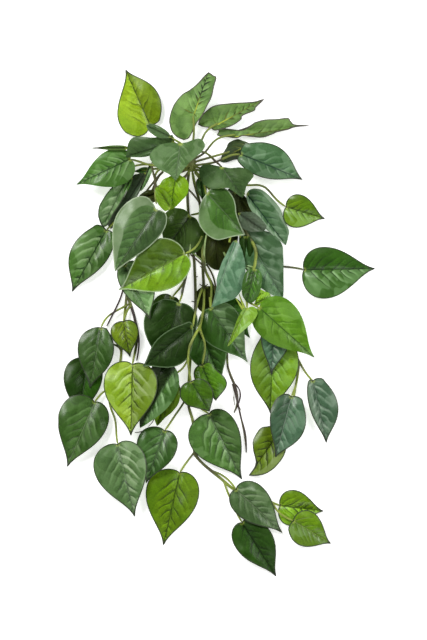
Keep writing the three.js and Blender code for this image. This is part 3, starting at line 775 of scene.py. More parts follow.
@dataclass
class Blade:
    """One heart-shaped leaf blade. Lengths are in millimetres and pairs are [left, right] from the stalk."""

    number: int
    base: Pixel
    tip: Pixel
    left: float
    right: float
    tone: Tone
    # Tone of each half, with painted light and shade where a half is lit or shaded; then each half's painted
    # sheen
    tone_and_painted_light: Pair
    painted_sheen: Pair
    ribs: Ribs = Ribs.FAINT
    gloss: float = 0.35
    quilt: float = 0.35
    veins: float = 1.0
    edge: Edge = Edge.DARK
    # Share of the half width where a painted light band starts, as on a margin turned up to the light; 2 is
    # none
    light_band_start: Pair = (2.0, 2.0)
    peak: Pair = (PLAIN_PEAK, PLAIN_PEAK)
    lobe: Pair = (1.0, 1.0)
    fold: Pair = (2.0, 2.0)
    arch: float = 6.0
    rise: float = -4.0
    turned: bool = False
    height: float = 0.0
    seat: Optional[Pixel] = None
    margins: Optional[tuple[Line, Line]] = None

    @property
    def node(self) -> str:
        """The name of the leaf's node in the frame."""
        return f"leaf_{self.number:02d}"

    @property
    def hidden(self) -> bool:
        """Whether the leaf has no node of its own in the frame."""
        return self.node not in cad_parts

    def margin_curve(self, row: np.ndarray, half: int) -> np.ndarray:
        """The outline of one half, as fractions of the length and of the half width.

        Args:
            row: From 0 at the stalk to 1 at the tip.
            half: 0 for the left half, 1 for the right.

        Returns:
            An array with one row of along and out for each row value.
        """
        if self.margins:
            return self.drawn_margin(row, half)
        depth = self.lobe[half]
        lobe = [(0, 0), (-0.07 * depth, 0.22), (0.06 - 0.07 * depth, 1), (PLAIN_PEAK, 1)]
        taper = [(PLAIN_PEAK, 1), (0.6, 1), (0.8, 0.1), (1, 0)]
        near = bezier(lobe, np.clip(row / SHARE_OF_LOBE, 0, 1))
        far = bezier(taper, np.clip((row - SHARE_OF_LOBE) / (1 - SHARE_OF_LOBE), 0, 1))
        curve = np.where((row < SHARE_OF_LOBE)[:, None], near, far)
        power = math.log(self.peak[half]) / math.log(PLAIN_PEAK)
        curve[:, 0] = np.where(curve[:, 0] > 0, np.abs(curve[:, 0]) ** power, curve[:, 0])
        return curve

    def drawn_margin(self, row: np.ndarray, half: int) -> np.ndarray:
        """The outline of one half where it is given by points of its own.

        Args:
            row: From 0 at the stalk to 1 at the tip.
            half: 0 for the left half, 1 for the right.

        Returns:
            An array with one row of along and out for each row value.
        """
        base = place(self.base)
        chord = place(self.tip) - base
        width = (self.left, self.right)[half] * MM
        side = Vector((-chord.y, chord.x, 0)).normalized() * (-1 if half else 1)
        steps = [place(pixel) - base for pixel in self.margins[half]]
        knots = [(step.dot(chord) / chord.length_squared, step.dot(side) / width) for step in steps]
        return smooth_line(np.array([(0.0, 0.0), *knots, (1.0, 0.0)]), row)

    def spread(self, row: np.ndarray, across: np.ndarray) -> tuple[np.ndarray, np.ndarray]:
        """Turns places on the grid into places on the blade.

        Args:
            row: From 0 at the stalk to 1 at the tip.
            across: From -1 at the right margin to 1 at the left one.

        Returns:
            How far along the length each place is, and how far out, both as fractions.
        """
        side = np.abs(across)
        curve = np.where((across > 0)[:, None], self.margin_curve(row, 0), self.margin_curve(row, 1))
        rib = row ** RIB_CROWDING
        bend = rib + RIB_PULL * (curve[:, 0] - rib)
        along = (1 - side) ** 2 * rib + 2 * side * (1 - side) * bend + side ** 2 * curve[:, 0]
        out = (2 * side * (1 - side) * INNER_WIDTH + side ** 2) * curve[:, 1]
        return along, out

    def stalk_height(self) -> float:
        """Finds how high the blade's stalk end is.

        Returns:
            The height in metres, from the leaf's node, or from the table where it has none.
        """
        if self.hidden:
            return self.height * MM
        points = points_of(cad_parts[self.node].data)
        away = np.hypot(points[:, 0] - place(self.base).x, points[:, 1] - place(self.base).y)
        ends = points[away < away.min() + 0.02 * MM, 2]
        return float(ends.min() + ends.max()) / 2

    def vein_phase(self, along: np.ndarray, off: np.ndarray, length: float, spacing: float) -> np.ndarray:
        """Counts side veins: the result is whole on a vein and half between two.

        Args:
            along: Distance along the rib in millimetres.
            off: Distance from the rib in millimetres, negative on the right half.
            length: Length of the rib.
            spacing: Distance between side veins where they leave the rib.

        Returns:
            The count for each place.
        """
        out = np.maximum(np.abs(off), 1e-6)
        width = np.where(off > 0, self.left, self.right)
        lean = LEAN + LEAN_AT_TIP * np.clip(along / length, 0, 1) + LEAN_AT_MARGIN * out / width
        start = along - lean * out
        turn = np.arctan(lean) - np.arctan2(along, out)
        start = np.where(start < 0, -turn * VEINS_A_RADIAN * spacing, start)
        shift = noise.noise((self.number * 1.7, 0.3, 0.1)) * 0.5
        return start / spacing + np.where(off > 0, 0.0, 0.5) + shift

    def build(self) -> bpy.types.Object:
        """Makes the blade from a grid, gives it its thickness and dresses it.

        Returns:
            The piece.
        """
        bpy.ops.object.select_all(action="DESELECT")
        bpy.ops.mesh.primitive_grid_add(x_subdivisions=ROWS, y_subdivisions=COLUMNS, size=2)
        piece = bpy.context.active_object
        piece.name = piece.data.name = self.node.replace("leaf", "blade")
        self.shape(piece.data)
        bpy.ops.object.mode_set(mode="EDIT")
        bpy.ops.mesh.select_all(action="SELECT")
        bpy.ops.mesh.remove_doubles(threshold=WELD)
        bpy.ops.object.mode_set(mode="OBJECT")
        wall = piece.modifiers.new("wall", "SOLIDIFY")
        wall.thickness = BLADE_THICKNESS
        wall.offset = 0
        wall.material_offset = 1
        wall.material_offset_rim = 2
        self.dress(piece)
        bpy.ops.object.modifier_apply(modifier="wall")
        bpy.ops.object.shade_smooth_by_angle(angle=SMOOTH_ANGLE)
        return piece

    def shape(self, mesh: bpy.types.Mesh) -> None:
        """Moves the grid's points to their places on the blade and writes what its shader reads.

        Args:
            mesh: The grid.
        """
        grid = points_of(mesh)
        row, across = np.clip((grid[:, 0] + 1) / 2, 0, 1), grid[:, 1].copy()
        across[np.abs(across) < 1e-4] = 0
        along, out = self.spread(row, across)

        base = place(self.base)
        chord = place(self.tip) - base
        length, unit = chord.length / MM, chord.normalized()
        thread = DRIP_TIP * smoothstep(along, 0.8, 0.97) * (along < 0.995)
        x = along * length
        y = np.sign(across) * out * np.where(across > 0, self.left, self.right) + across * thread
        spots = np.stack([base.x + chord.x * along - unit.y * y * MM,
                          base.y + chord.y * along + unit.x * y * MM], axis=1)

        edge = self.margin_distance(x, y, length)
        run, off, reach = self.along_rib(spots)
        spacing = reach * (VEIN_SPACING + VEIN_SPACING_RANGE * math.sin(self.number * 2.4))
        phase = self.vein_phase(run, off, reach, spacing)
        phase = phase + self.wander(x, y, *VEIN_WAVES) * 0.35 + self.wander(x, y, *VEIN_TREMBLE) * 0.12
        away = smoothstep(np.abs(off), 0.5, 9) * smoothstep(edge, 0, 9)
        away = away * (0.8 + 1.4 * self.wander(x, y, *FIELD_WAVES))
        rise = self.bend(along, out, across) + self.fields(phase, off, away)
        rise = rise + self.wander(x, y, *BUCKLE_WAVES) * BUCKLING * smoothstep(np.abs(y), 0, 12)
        points = np.column_stack([spots, rise * MM + self.stalk_height()])
        low, high = (np.array(corner) for corner in CAD_BOX)
        mesh.vertices.foreach_set("co", np.clip(points, low + SKIN, high - SKIN).ravel())

        # Each half's tone with its painted light and shade, its painted sheen, and where its painted light
        # band starts
        half = smoothstep(off, -1.2, 1.2)
        pairs = (self.tone_and_painted_light, self.painted_sheen, self.light_band_start)
        tone_and_painted_light, painted_sheen, light_band_start = (right + (left - right) * half for left, right in pairs)
        one = np.ones(len(grid))
        write_triples(mesh, "lamina", np.clip(run / reach, 0, 1), edge, np.hypot(run, off))
        write_triples(mesh, "veins", phase, one * spacing * 0.8, off)
        write_triples(mesh, "look", tone_and_painted_light, painted_sheen, one * self.ribs.value)
        write_triples(mesh, "skin", one * self.gloss, one * self.number, one * self.veins)
        share = np.abs(off) / (np.abs(off) + edge + 0.01)
        write_triples(mesh, "rim", one * self.edge.value, share, light_band_start)

    def bend(self, along: np.ndarray, out: np.ndarray, across: np.ndarray) -> np.ndarray:
        """The blade's large shape: its arch along the rib, its fold at the rib and its cup.

        Args:
            along: How far along the length each place is, as a fraction.
            out: How far out it is, as a fraction of the half width.
            across: Positive on the left half.

        Returns:
            The height of each place above the stalk end, in millimetres.
        """
        swing = np.sin(math.pi * np.clip(along, 0, 1))
        fold = np.where(across > 0, self.fold[0], self.fold[1])
        lift = np.minimum(out, 1)
        return self.rise * along + self.arch * swing + fold * lift + CUP * lift * (1 - lift)

    def fields(self, phase: np.ndarray, off: np.ndarray, away: np.ndarray) -> np.ndarray:
        """The blade's small shape: the raised fields between its side veins and the channel at its rib.

        Args:
            phase: The count of side veins at each place.
            off: Millimetres from the rib.
            away: How high a field may be there, which fades towards the rib and the margin.

        Returns:
            The height that they add to each place, in millimetres.
        """
        share = phase - np.floor(phase)
        bulge = smoothstep(share, 0, 0.32) * smoothstep(share, 1, 0.32) - 0.5
        channel = CHANNEL_DEPTH * np.exp(-(off / CHANNEL_WIDTH) ** 2)
        return (self.quilt * bulge * away - channel) * (-1 if self.turned else 1)

    def along_rib(self, spots: np.ndarray) -> tuple[np.ndarray, np.ndarray, float]:
        """Measures places from the blade's rib, which starts at its seat on the stalk.

        Args:
            spots: Places in the plane in metres.

        Returns:
            Millimetres along the rib, millimetres off it and the rib's length. Off is positive on the left.
            For a place behind the seat it is the whole distance from there.
        """
        seat = place(self.seat or self.base)
        rib = place(self.tip) - seat
        unit = rib.normalized()
        x, y = (spots[:, 0] - seat.x) / MM, (spots[:, 1] - seat.y) / MM
        run, off = x * unit.x + y * unit.y, y * unit.x - x * unit.y
        sign = np.where(off < 0, -1.0, 1.0)
        return run, np.where(run < 0, sign * np.hypot(run, off), off), rib.length / MM

    def wander(self, x: np.ndarray, y: np.ndarray, size: float, seed: float) -> np.ndarray:
        """Smooth irregular numbers over the blade, its own for each leaf.

        Args:
            x: Places along the rib in millimetres.
            y: Places across it.
            size: Size of the irregularities in millimetres.
            seed: Which of the leaf's patterns it is.

        Returns:
            The numbers, from about -0.5 to 0.5.
        """
        level = self.number * seed
        return np.array([noise.noise((a / size, b / size, level)) for a, b in zip(x, y)])

    def margin_distance(self, x: np.ndarray, y: np.ndarray, length: float) -> np.ndarray:
        """Distance of each place from the blade's margin, in millimetres.

        Args:
            x: Distance along the rib from the stalk.
            y: Distance from the rib, negative on the right half.
            length: Length of the blade.

        Returns:
            The distances.
        """
        row = np.linspace(0, 1, MARGIN_STEPS)
        line = np.concatenate([self.margin_curve(row, 0) * (length, self.left),
                               self.margin_curve(row, 1) * (length, -self.right)])
        away = np.hypot(x[:, None] - line[None, :, 0], y[:, None] - line[None, :, 1])
        return away.min(axis=1)

    def dress(self, piece: bpy.types.Object) -> None:
        """Gives the faces, the underside and the rim their finishes and says what the piece stands for.

        Args:
            piece: The blade.
        """
        face, under, rim = (MATERIALS[key] for key in (self.tone, UNDER_FINISH, RIM_FINISH))
        sides = (under, face) if self.turned else (face, under)
        for material in (*sides, rim):
            piece.data.materials.append(material)
        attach(piece, "root")
        if not self.hidden:
            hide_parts(self.node)


# Each leaf, roughly from the lowest to the highest: its number, the pixels of its stalk end and tip, its
# half widths, its colour, the tone of its halves with their painted light and shade, their painted sheen,
# and what is its own. Margins start at the stalk
BLADES = (
    Blade(58, (283, 428), (248.8, 476), 24, 24, Tone.LEMON, (0.6, 0.5), (0.4, 0.05), Ribs.DARK, veins=1.3,
          light_band_start=(0.6, 2), fold=(6, 2),
          margins=(((286, 436), (287, 447), (283, 458), (276, 467), (268, 473), (259, 475.8)),
                   ((277, 426), (268, 426.5), (259, 430), (254, 438), (253, 448), (255, 458),
                    (256, 466.5)))),
    Blade(54, (273, 337), (270.4, 413.9), 37, 30, Tone.LIME, (1.05, 0.65), (0.3, 0.3), Ribs.DARK, quilt=0.3,
          veins=0.7, peak=(0.33, 0.4), fold=(3, 1)),
    Blade(55, (275, 318), (271.3, 375.5), 24.5, 18, Tone.SLATE, (0.9, 0.85), (0.6, 0.2), fold=(4, 2)),
    Blade(23, (304, 269.5), (376, 268.4), 31, 40.5, Tone.DEEP, (0.9, 1.2), (0, 0.45), Ribs.DARK, veins=0.8,
          lobe=(0.6, 1), fold=(2, 1)),
    Blade(25, (236, 191), (262, 239), 23.5, 23.5, Tone.UMBER, (0.75, 0.7), (0.1, 0.25), gloss=0.1, veins=0.5,
          edge=Edge.BARE, height=4.5,
          margins=(((246, 197), (252, 207), (260, 220), (264, 231)),
                   ((228, 190), (232, 200), (235, 210), (240, 222), (249, 233)))),
    Blade(24, (245, 232), (283, 298), 34, 28, Tone.BLUE, (0.6, 0.85), (0.6, 0.2), veins=0.55, edge=Edge.BARE,
          fold=(1, 1),
          margins=(((254, 229.5), (266, 231), (276, 236), (281.5, 243), (283.2, 255), (283.6, 272),
                    (283.6, 287)),
                   ((240, 234), (239, 243), (240, 254), (244, 266), (254, 281), (268, 292.5)))),
    Blade(52, (214, 226), (219, 270), 36, 30, Tone.UMBER, (0.9, 0.9), (0, 0), gloss=0.1, veins=0.5,
          edge=Edge.BARE,
          margins=(((223, 229), (232, 231), (238, 236), (236, 246), (232, 254), (225, 264)),
                   ((204, 229), (198, 237), (194, 246), (197, 256), (207, 264), (214, 269)))),
    Blade(47, (88, 360), (78, 420), 23.5, 30, Tone.DEEP, (1, 0.45), (0, 0), gloss=0.15, fold=(1, 2)),
    Blade(46, (100.9, 327.5), (89.8, 388), 23.5, 27, Tone.GREEN, (0.5, 0.4), (0.3, 0.2), Ribs.PALE,
          peak=(0.38, 0.32), lobe=(0.5, 0.2), fold=(-3, -2)),
    Blade(48, (123.5, 321.4), (130, 357.3), 18, 20.5, Tone.LEMON, (0.75, 0.6), (0.25, 0.05), fold=(-2, 2)),
    Blade(60, (242, 523), (276.6, 577.7), 27, 26, Tone.DEEP, (0.5, 0.6), (0.05, 0), Ribs.DARK, gloss=0.2,
          peak=(0.34, 0.28), fold=(2, 3)),
    Blade(59, (235.9, 489.7), (282.8, 533.7), 27.5, 24, Tone.GREY, (0.65, 0.55), (0.4, 0.3), Ribs.PALE,
          fold=(2, 3)),
    Blade(61, (280, 506), (324, 511.7), 24, 26, Tone.LIME, (0.7, 1.2), (0, 0.1), Ribs.DARK, quilt=0.3,
          veins=1.3, fold=(2, -2)),
    Blade(62, (293.3, 521.2), (331.2, 544.2), 24.5, 24.5, Tone.LIME, (0.7, 0.6), (0, 0.7), Ribs.PALE,
          peak=(0.28, 0.35), fold=(2, 1)),
    Blade(39, (179.7, 473), (163.1, 546.4), 33, 40.5, Tone.LIME, (0.6, 0.6), (0.05, 0), Ribs.DARK, gloss=0.2,
          quilt=0.25),
    Blade(40, (164.8, 430.8), (145.7, 483.8), 24.5, 31.5, Tone.DEEP, (0.8, 0.9), (0.45, 0.25), fold=(2, 1)),
    Blade(41, (117.5, 444.2), (134.7, 517.3), 33, 40, Tone.GREY, (0.9, 0.75), (0.65, 0.15), veins=1.2,
          fold=(1, 1)),
    Blade(42, (94.5, 402), (66.7, 467.6), 29.5, 40, Tone.GREEN, (0.5, 0.5), (0.35, 0.15), Ribs.PALE,
          veins=1.2, lobe=(1, 1.3), fold=(-2, -3)),
    Blade(38, (209, 414), (242.2, 480.3), 28, 42.5, Tone.GREEN, (0.5, 0.8), (0.4, 0.45), veins=1.2,
          fold=(1, 2)),
    Blade(45, (172, 375), (157, 426), 20.5, 19, Tone.LIME, (0.35, 0.5), (0, 0), Ribs.DARK, gloss=0.1,
          edge=Edge.BARE,
          margins=(((178, 382), (180.6, 392), (179, 402), (173, 411), (165, 418)),
                   ((166, 384), (160, 394), (156, 405), (154.5, 415)))),
    # Leaf 44's right half is painted near black: painted shade beside leaf 43
    Blade(44, (163, 362), (140, 428), 37, 29, Tone.DEEP, (1, 0.1), (0.6, 0), gloss=0.2, edge=Edge.BARE,
          fold=(-3, 4), seat=(178, 362),
          margins=(((170, 363), (176, 369), (179, 378), (178.5, 388), (175, 397), (168, 407), (158, 416),
                    (148, 423)),
                   ((157, 362), (150, 370), (147, 385), (143, 400), (140, 415)))),
    Blade(43, (132.6, 364.2), (130.9, 436), 35, 39, Tone.LEMON, (0.7, 1.1), (0.7, 0.4), Ribs.DARK, veins=1.2,
          lobe=(1, 1.4), fold=(-2, -2)),
    Blade(35, (200, 330), (222, 384), 27.5, 27.5, Tone.DEEP, (0.65, 1), (0.1, 0.15), Ribs.DARK, gloss=0.2,
          edge=Edge.PALE),
    Blade(31, (222, 302), (250, 338), 20.5, 16.5, Tone.DEEP, (1.4, 1.4), (0.05, 0.05), edge=Edge.BARE,
          fold=(1, 1), height=5),
    Blade(30, (210.5, 308.1), (247.8, 362.5), 27.5, 31.5, Tone.DEEP, (0.7, 0.75), (0.9, 0.1), gloss=0.5,
          edge=Edge.PALE, fold=(-2, -2)),
    Blade(34, (172, 297), (152, 345), 18, 22, Tone.OLIVE, (0.6, 1.15), (0, 0), edge=Edge.BARE, fold=(1, 1),
          height=4.5),
    Blade(32, (179, 303.5), (160, 368), 33, 40, Tone.DEEP, (0.25, 0.3), (0, 0), gloss=0.1, veins=0.7,
          edge=Edge.PALE, peak=(0.28, 0.33), fold=(1, -2)),
    Blade(33, (193, 327), (142.9, 366.6), 30, 18, Tone.DEEP, (0.25, 0.25), (0.05, 0.1), Ribs.PALE, gloss=0.1,
          veins=0.8, edge=Edge.PALE, peak=(0.44, 0.45), lobe=(0, 1), fold=(1, 9)),
    Blade(36, (202, 365), (216, 401), 23.5, 16.5, Tone.FRESH, (0.9, 0.75), (0.1, 0), Ribs.DARK, veins=0.7,
          peak=(0.6, 0.28), fold=(3, 1)),
    Blade(37, (191, 381), (209.5, 411.5), 25.5, 23.5, Tone.FRESH, (0.45, 0.5), (0, 0), Ribs.DARK, veins=0.5,
          fold=(-2, -2),
          margins=(((199, 378.5), (207, 381.5), (212.5, 389), (213, 399), (211, 406)),
                   ((185, 383), (180, 390), (180.5, 398), (186, 404.5), (194, 407.5), (202, 409.5)))),
    Blade(49, (125, 265), (150.3, 319.5), 26, 18, Tone.GREY, (1.6, 1), (0.5, 0.4), veins=0.35,
          peak=(0.4, 0.28)),
    Blade(51, (190, 215.5), (168, 246), 29, 22, Tone.OLIVE, (1.1, 1.3), (0.15, 0.05), Ribs.DARK, gloss=0.2,
          veins=0.5, edge=Edge.BARE, fold=(-3, -1),
          margins=(((196, 218.5), (200, 226), (204, 234), (204, 243), (198, 251), (188, 254), (178, 251)),
                   ((186, 210.5), (178, 208), (170, 209), (164.5, 214), (162, 222), (162, 232),
                    (164, 240)))),
    Blade(50, (185, 254), (118.6, 290.3), 33, 37, Tone.LIME, (0.95, 0.35), (0.1, 0.45), edge=Edge.PALE,
          peak=(0.33, 0.3), lobe=(1, 0.6), fold=(-3, 2)),
    Blade(7, (146, 172), (110.5, 229), 12.5, 16.5, Tone.DUSK, (0.8, 0.95), (0, 0), gloss=0.15, veins=0.3,
          edge=Edge.BARE,
          margins=(((145.5, 179), (143, 185), (140, 191), (136.5, 197), (131, 202), (124, 207),
                    (120, 213), (116, 222)),
                   ((138, 173.5), (132.5, 176.5), (130, 182), (128, 189), (124, 197), (118.5, 205),
                    (111, 212), (108, 221)))),
    Blade(53, (106, 230), (71.5, 292), 21.5, 30, Tone.GREEN, (0.65, 0.9), (0.55, 0.45), Ribs.DARK, quilt=0.9,
          veins=1.2, peak=(0.3, 0.42)),
    Blade(8, (151, 163), (140, 191), 4, 4, Tone.GREY, (1.25, 1.3), (0.5, 0.5), quilt=0.2, veins=0.3,
          edge=Edge.BARE, fold=(3, 3), height=19.5,
          margins=(((153, 166.5), (151.5, 173), (148.5, 180), (145, 186)),
                   ((148.6, 166), (146.5, 172), (144, 179), (141, 186)))),
    Blade(6, (132.5, 167), (102.6, 227.4), 10, 24, Tone.GREY, (1.05, 1.2), (0.5, 0.6), veins=0.7,
          fold=(6, 4),
          margins=(((134, 172), (131.6, 181), (128, 189.5), (124, 197), (119.5, 205), (114, 213),
                    (109.5, 221)),
                   ((125.5, 173.5), (118, 181), (110, 189), (104, 197), (99.4, 205), (98, 213),
                    (99.6, 221)))),
    Blade(66, (149, 169.5), (133, 171), 4.5, 4.5, Tone.GREEN, (0.75, 0.75), (0.1, 0.1), veins=0.3,
          edge=Edge.BARE, fold=(0.5, 0.5), arch=1, height=3),
    Blade(65, (131, 177), (122.4, 199), 3.6, 3.6, Tone.GREEN, (0.75, 0.75), (0.1, 0.1), veins=0.3,
          edge=Edge.BARE, fold=(0.5, 0.5), arch=2, height=22),
    Blade(67, (238, 213), (264, 231), 12, 12, Tone.DUSK, (0.9, 1), (0.1, 0.1), veins=0.4, edge=Edge.BARE,
          fold=(1, 1), arch=2, height=34,
          margins=(((247, 212), (255, 213.4), (261, 219), (266, 227)),
                   ((240, 221), (243.5, 229), (250, 231.5), (258, 231.5)))),
    Blade(68, (206, 286), (207, 313), 13, 13, Tone.UMBER, (1.1, 1.1), (0.05, 0.05), gloss=0.1, veins=0.4,
          edge=Edge.BARE, fold=(0.3, 0.3), arch=0.5, height=1.6,
          margins=(((212, 286), (217, 288), (217.5, 296), (216, 304), (212, 310)),
                   ((200, 288), (196.4, 293), (196, 300), (197.5, 307), (201, 311)))),
    Blade(69, (253, 268.6), (243.4, 265.6), 3, 3, Tone.GREY, (1.4, 1.4), (0.8, 0.8), veins=0.3,
          edge=Edge.BARE, fold=(0.5, 0.5), arch=1, height=24),
    Blade(64, (171, 209), (158, 187), 9, 9, Tone.LIME, (0.75, 0.7), (0.1, 0.1), veins=0.5, edge=Edge.BARE,
          fold=(1, 1), arch=1, height=79,
          margins=(((169, 210.5), (163, 210), (158, 204), (156, 196), (157, 187.6)),
                   ((171, 199), (167, 193), (163, 190)))),
    # Leaf 70 is a small dark blade where leaf 24 casts its shadow: painted shadow
    Blade(70, (246, 236), (247, 265), 8, 8, Tone.DEEP, (0.35, 0.4), (0, 0), gloss=0.1, veins=0.3,
          edge=Edge.BARE, fold=(0.5, 0.5), arch=1, height=21,
          margins=(((251.5, 240), (253, 250), (250.5, 260)),
                   ((240.5, 240), (239.6, 250), (243.5, 260)))),
    Blade(9, (158, 193), (138, 199), 8, 8, Tone.UMBER, (0.8, 0.8), (0, 0), Ribs.DARK, gloss=0.1, veins=0.4,
          edge=Edge.BARE, fold=(1, 1), height=24,
          margins=(((158, 200), (152, 203), (145, 202)),
                   ((155, 190.4), (147, 190.4), (141, 194)))),
    Blade(10, (156.4, 209.5), (115.4, 271.6), 24.5, 38, Tone.GREY, (0.4, 0.7), (0.05, 0.05), gloss=0.3,
          quilt=0.4, veins=0.8, edge=Edge.PALE, light_band_start=(2, 0.6), fold=(-4, -4),
          margins=(((161, 211), (166, 214), (167.2, 219), (166, 226), (162, 234), (155, 242), (146, 250),
                    (136, 257), (126, 264)),
                   ((153, 203), (148, 198), (140, 196.8), (131, 200.4), (123, 207), (117.4, 214.6),
                    (114, 224), (112.8, 236), (113.2, 248), (114.4, 262)))),
    Blade(57, (291.5, 396.6), (275.4, 458), 29, 22.5, Tone.SLATE, (0.8, 0.5), (0.35, 0.2), Ribs.PALE,
          peak=(0.42, 0.28), fold=(1, 2)),
    Blade(56, (312.9, 380.9), (326.8, 443.5), 27, 12.5, Tone.SLATE, (0.65, 0.6), (0.55, 0.9), Ribs.PALE,
          peak=(0.42, 0.34), fold=(-2, 4)),
    Blade(26, (236, 240), (211.7, 307), 26, 8, Tone.SLATE, (1.2, 1.2), (0.35, 0.3), Ribs.PALE, veins=0.3,
          edge=Edge.BARE, fold=(-1, 4),
          margins=(((240.5, 246), (243.6, 256), (245.4, 267), (245, 277), (243, 287), (237.5, 295.5),
                    (228, 301), (219.5, 304)),
                   ((231, 244.5), (226.4, 254), (221.4, 264), (218, 274), (216.6, 286), (214, 298)))),
    Blade(63, (254, 305), (271, 296), 10, 8, Tone.LIME, (1.5, 1.3), (0.15, 0.2), edge=Edge.BARE, fold=(1, 1),
          height=23,
          margins=(((256.5, 298), (258.4, 289), (265, 291.6), (269.6, 293.6)),
                   ((258, 305.6), (264, 301)))),
    Blade(28, (259.3, 307.7), (314.6, 357.7), 35, 27.5, Tone.FRESH, (0.95, 0.75), (0.35, 0.3), Ribs.DARK,
          quilt=0.25, veins=0.4, edge=Edge.BARE, fold=(-3, -2)),
    Blade(29, (247, 308), (227.6, 346.5), 22, 10, Tone.LIME, (1.1, 0.9), (1, 0.6), Ribs.PALE, gloss=0.1,
          quilt=0.2, veins=0.3, edge=Edge.BARE, fold=(-1, 3),
          margins=(((252, 306.5), (256.6, 309.5), (257.3, 314.5), (253.5, 321), (246.5, 328),
                    (238.5, 335), (232, 342.5)),
                   ((242.6, 309.5), (238.5, 316.5), (235.4, 324), (232.5, 332), (229.6, 340)))),
    Blade(27, (254.7, 269), (247, 302), 13, 13, Tone.GREEN, (0.8, 0.5), (0, 0), quilt=0.9, veins=1.3,
          edge=Edge.BARE, fold=(-2, -2),
          margins=(((259, 270.5), (261.8, 278), (261, 288), (258, 296), (253.5, 301.5)),
                   ((248.5, 269), (244.5, 275), (242.4, 283), (241.8, 292), (244.5, 299)))),
    Blade(21, (246.5, 193.5), (286, 245), 26, 12, Tone.BLUE, (0.7, 0.85), (0.4, 0.6), Ribs.DARK, veins=0.6,
          edge=Edge.BARE, light_band_start=(0.8, 0.4), fold=(-3, 5),
          margins=(((249, 190), (256, 188.4), (264, 191), (273, 199), (280, 208), (284, 219),
                    (288.6, 229), (288, 237)),
                   ((247, 200), (251, 210), (257, 219), (264, 227), (273, 235), (280, 240)))),
    Blade(22, (286, 206.6), (325.2, 218.5), 22, 24.5, Tone.LIME, (0.55, 0.85), (0, 0.5), Ribs.DARK,
          fold=(1, -1)),
    Blade(16, (250, 143), (219, 161), 16, 16, Tone.DEEP, (0.2, 0.2), (0.1, 0.1), gloss=0.15, quilt=0.3,
          veins=0.6, edge=Edge.BARE, height=8.5,
          margins=(((243, 140.3), (235, 139), (229.5, 141.6), (226.5, 147), (222, 155)),
                   ((252, 148), (249, 154), (243, 157.2), (233, 159.6), (226, 162)))),
    Blade(17, (240.6, 154), (302.8, 179.5), 29.5, 19, Tone.BLUE, (0.85, 0.7), (0.35, 0.4), Ribs.DARK,
          veins=0.5, peak=(0.42, 0.34), fold=(-2, -1)),
    Blade(15, (218.5, 131), (310.8, 125), 16, 14, Tone.FRESH, (0.7, 0.4), (0.3, 0.2), veins=1.3, turned=True,
          seat=(236, 136.3),
          margins=(((220, 127.6), (229.8, 128.4), (240.6, 129.6), (249, 126), (258.6, 120.6),
                    (267, 118.8), (276.6, 118.6), (285, 117.4), (291, 120.6), (297, 124.2), (303, 124.6)),
                   ((219.3, 135.8), (229, 137), (235.8, 138), (243, 135.6), (252.6, 136.8), (261, 137.4),
                    (271.8, 134.4), (279, 131.4), (287.4, 129.6), (297, 126), (303, 125.4)))),
    Blade(14, (197.8, 124), (264.4, 98.2), 18, 15, Tone.GREEN, (0.75, 0.65), (0.2, 0.2), veins=1.4,
          turned=True, seat=(217.8, 124.2),
          margins=(((199.5, 118.5), (203.5, 113), (213, 105.6), (231, 102.6), (249, 101.4), (258, 100.2)),
                   ((202.2, 126.3), (210, 127.6), (219, 129.6), (231, 126), (240.6, 120), (245.4, 114),
                    (252.6, 111.4), (256, 107)))),
    Blade(13, (184, 140), (208.5, 71.5), 34, 22, Tone.GREEN, (0.95, 1), (0.3, 0.3), Ribs.DARK, veins=1.5,
          turned=True, seat=(194.5, 113),
          margins=(((177, 137), (170.5, 128.2), (169.4, 117.6), (172.6, 106.9), (180, 96.2),
                    (190.7, 88.8), (197, 83.5), (203.5, 76.5)),
                   ((190, 136.5), (197, 122.5), (202.5, 115.4), (206.7, 106.9), (212, 96.2),
                    (214.2, 85.6), (216, 79), (213, 74.8)))),
    Blade(20, (201, 178), (203.5, 203), 7, 8, Tone.DEEP, (1.1, 1.1), (0.1, 0.55), veins=0.3, fold=(1, 1),
          height=16),
    Blade(19, (207, 193), (245, 235), 27, 32, Tone.GREEN, (0.45, 0.7), (0.05, 0.1), quilt=0.4, veins=0.5,
          edge=Edge.PALE, light_band_start=(2, 0.55), fold=(-3, -4),
          margins=(((212.4, 187.4), (221, 187.2), (228.4, 190.6), (233, 197), (235.6, 205), (236.4, 213),
                    (239, 221), (242, 228.5)),
                   ((202.4, 199.5), (199.4, 207.5), (198.6, 214), (200.6, 227), (206.3, 234.2),
                    (211.8, 238), (217.3, 239.9), (223, 239.2), (231.6, 236.9), (240, 235.4)))),
    Blade(11, (176.5, 174), (170.5, 210.5), 26, 22, Tone.LIME, (1, 0.85), (0.05, 0), Ribs.DARK, gloss=0.15,
          veins=0.4, edge=Edge.BARE, fold=(1, 1),
          margins=(((183, 177.5), (187, 181), (189, 187), (187, 195), (182, 201), (176, 207)),
                   ((169, 177.5), (162, 182), (158.5, 190), (158.5, 200), (162, 207), (166.5, 210.4)))),
    Blade(18, (222, 167), (242.6, 198), 30, 34, Tone.GREY, (0.45, 0.5), (0.1, 0.1), gloss=0.05, quilt=0.4,
          veins=0.45, edge=Edge.BARE, fold=(-1, -1), rise=6,
          margins=(((230, 168.2), (242, 167.8), (250, 171), (253.5, 175), (251, 180), (246.8, 185.5),
                    (244.8, 192)),
                   ((216, 165.6), (210, 164.3), (203.5, 165), (199.4, 168.5), (199.6, 175.5),
                    (203.5, 184), (212, 189), (226.5, 187.3), (234, 192)))),
    Blade(5, (130.5, 159), (76, 184.6), 27, 24, Tone.GREEN, (0.9, 1), (0.45, 0.4), Ribs.DARK, veins=0.8,
          edge=Edge.BARE, fold=(-1, -1)),
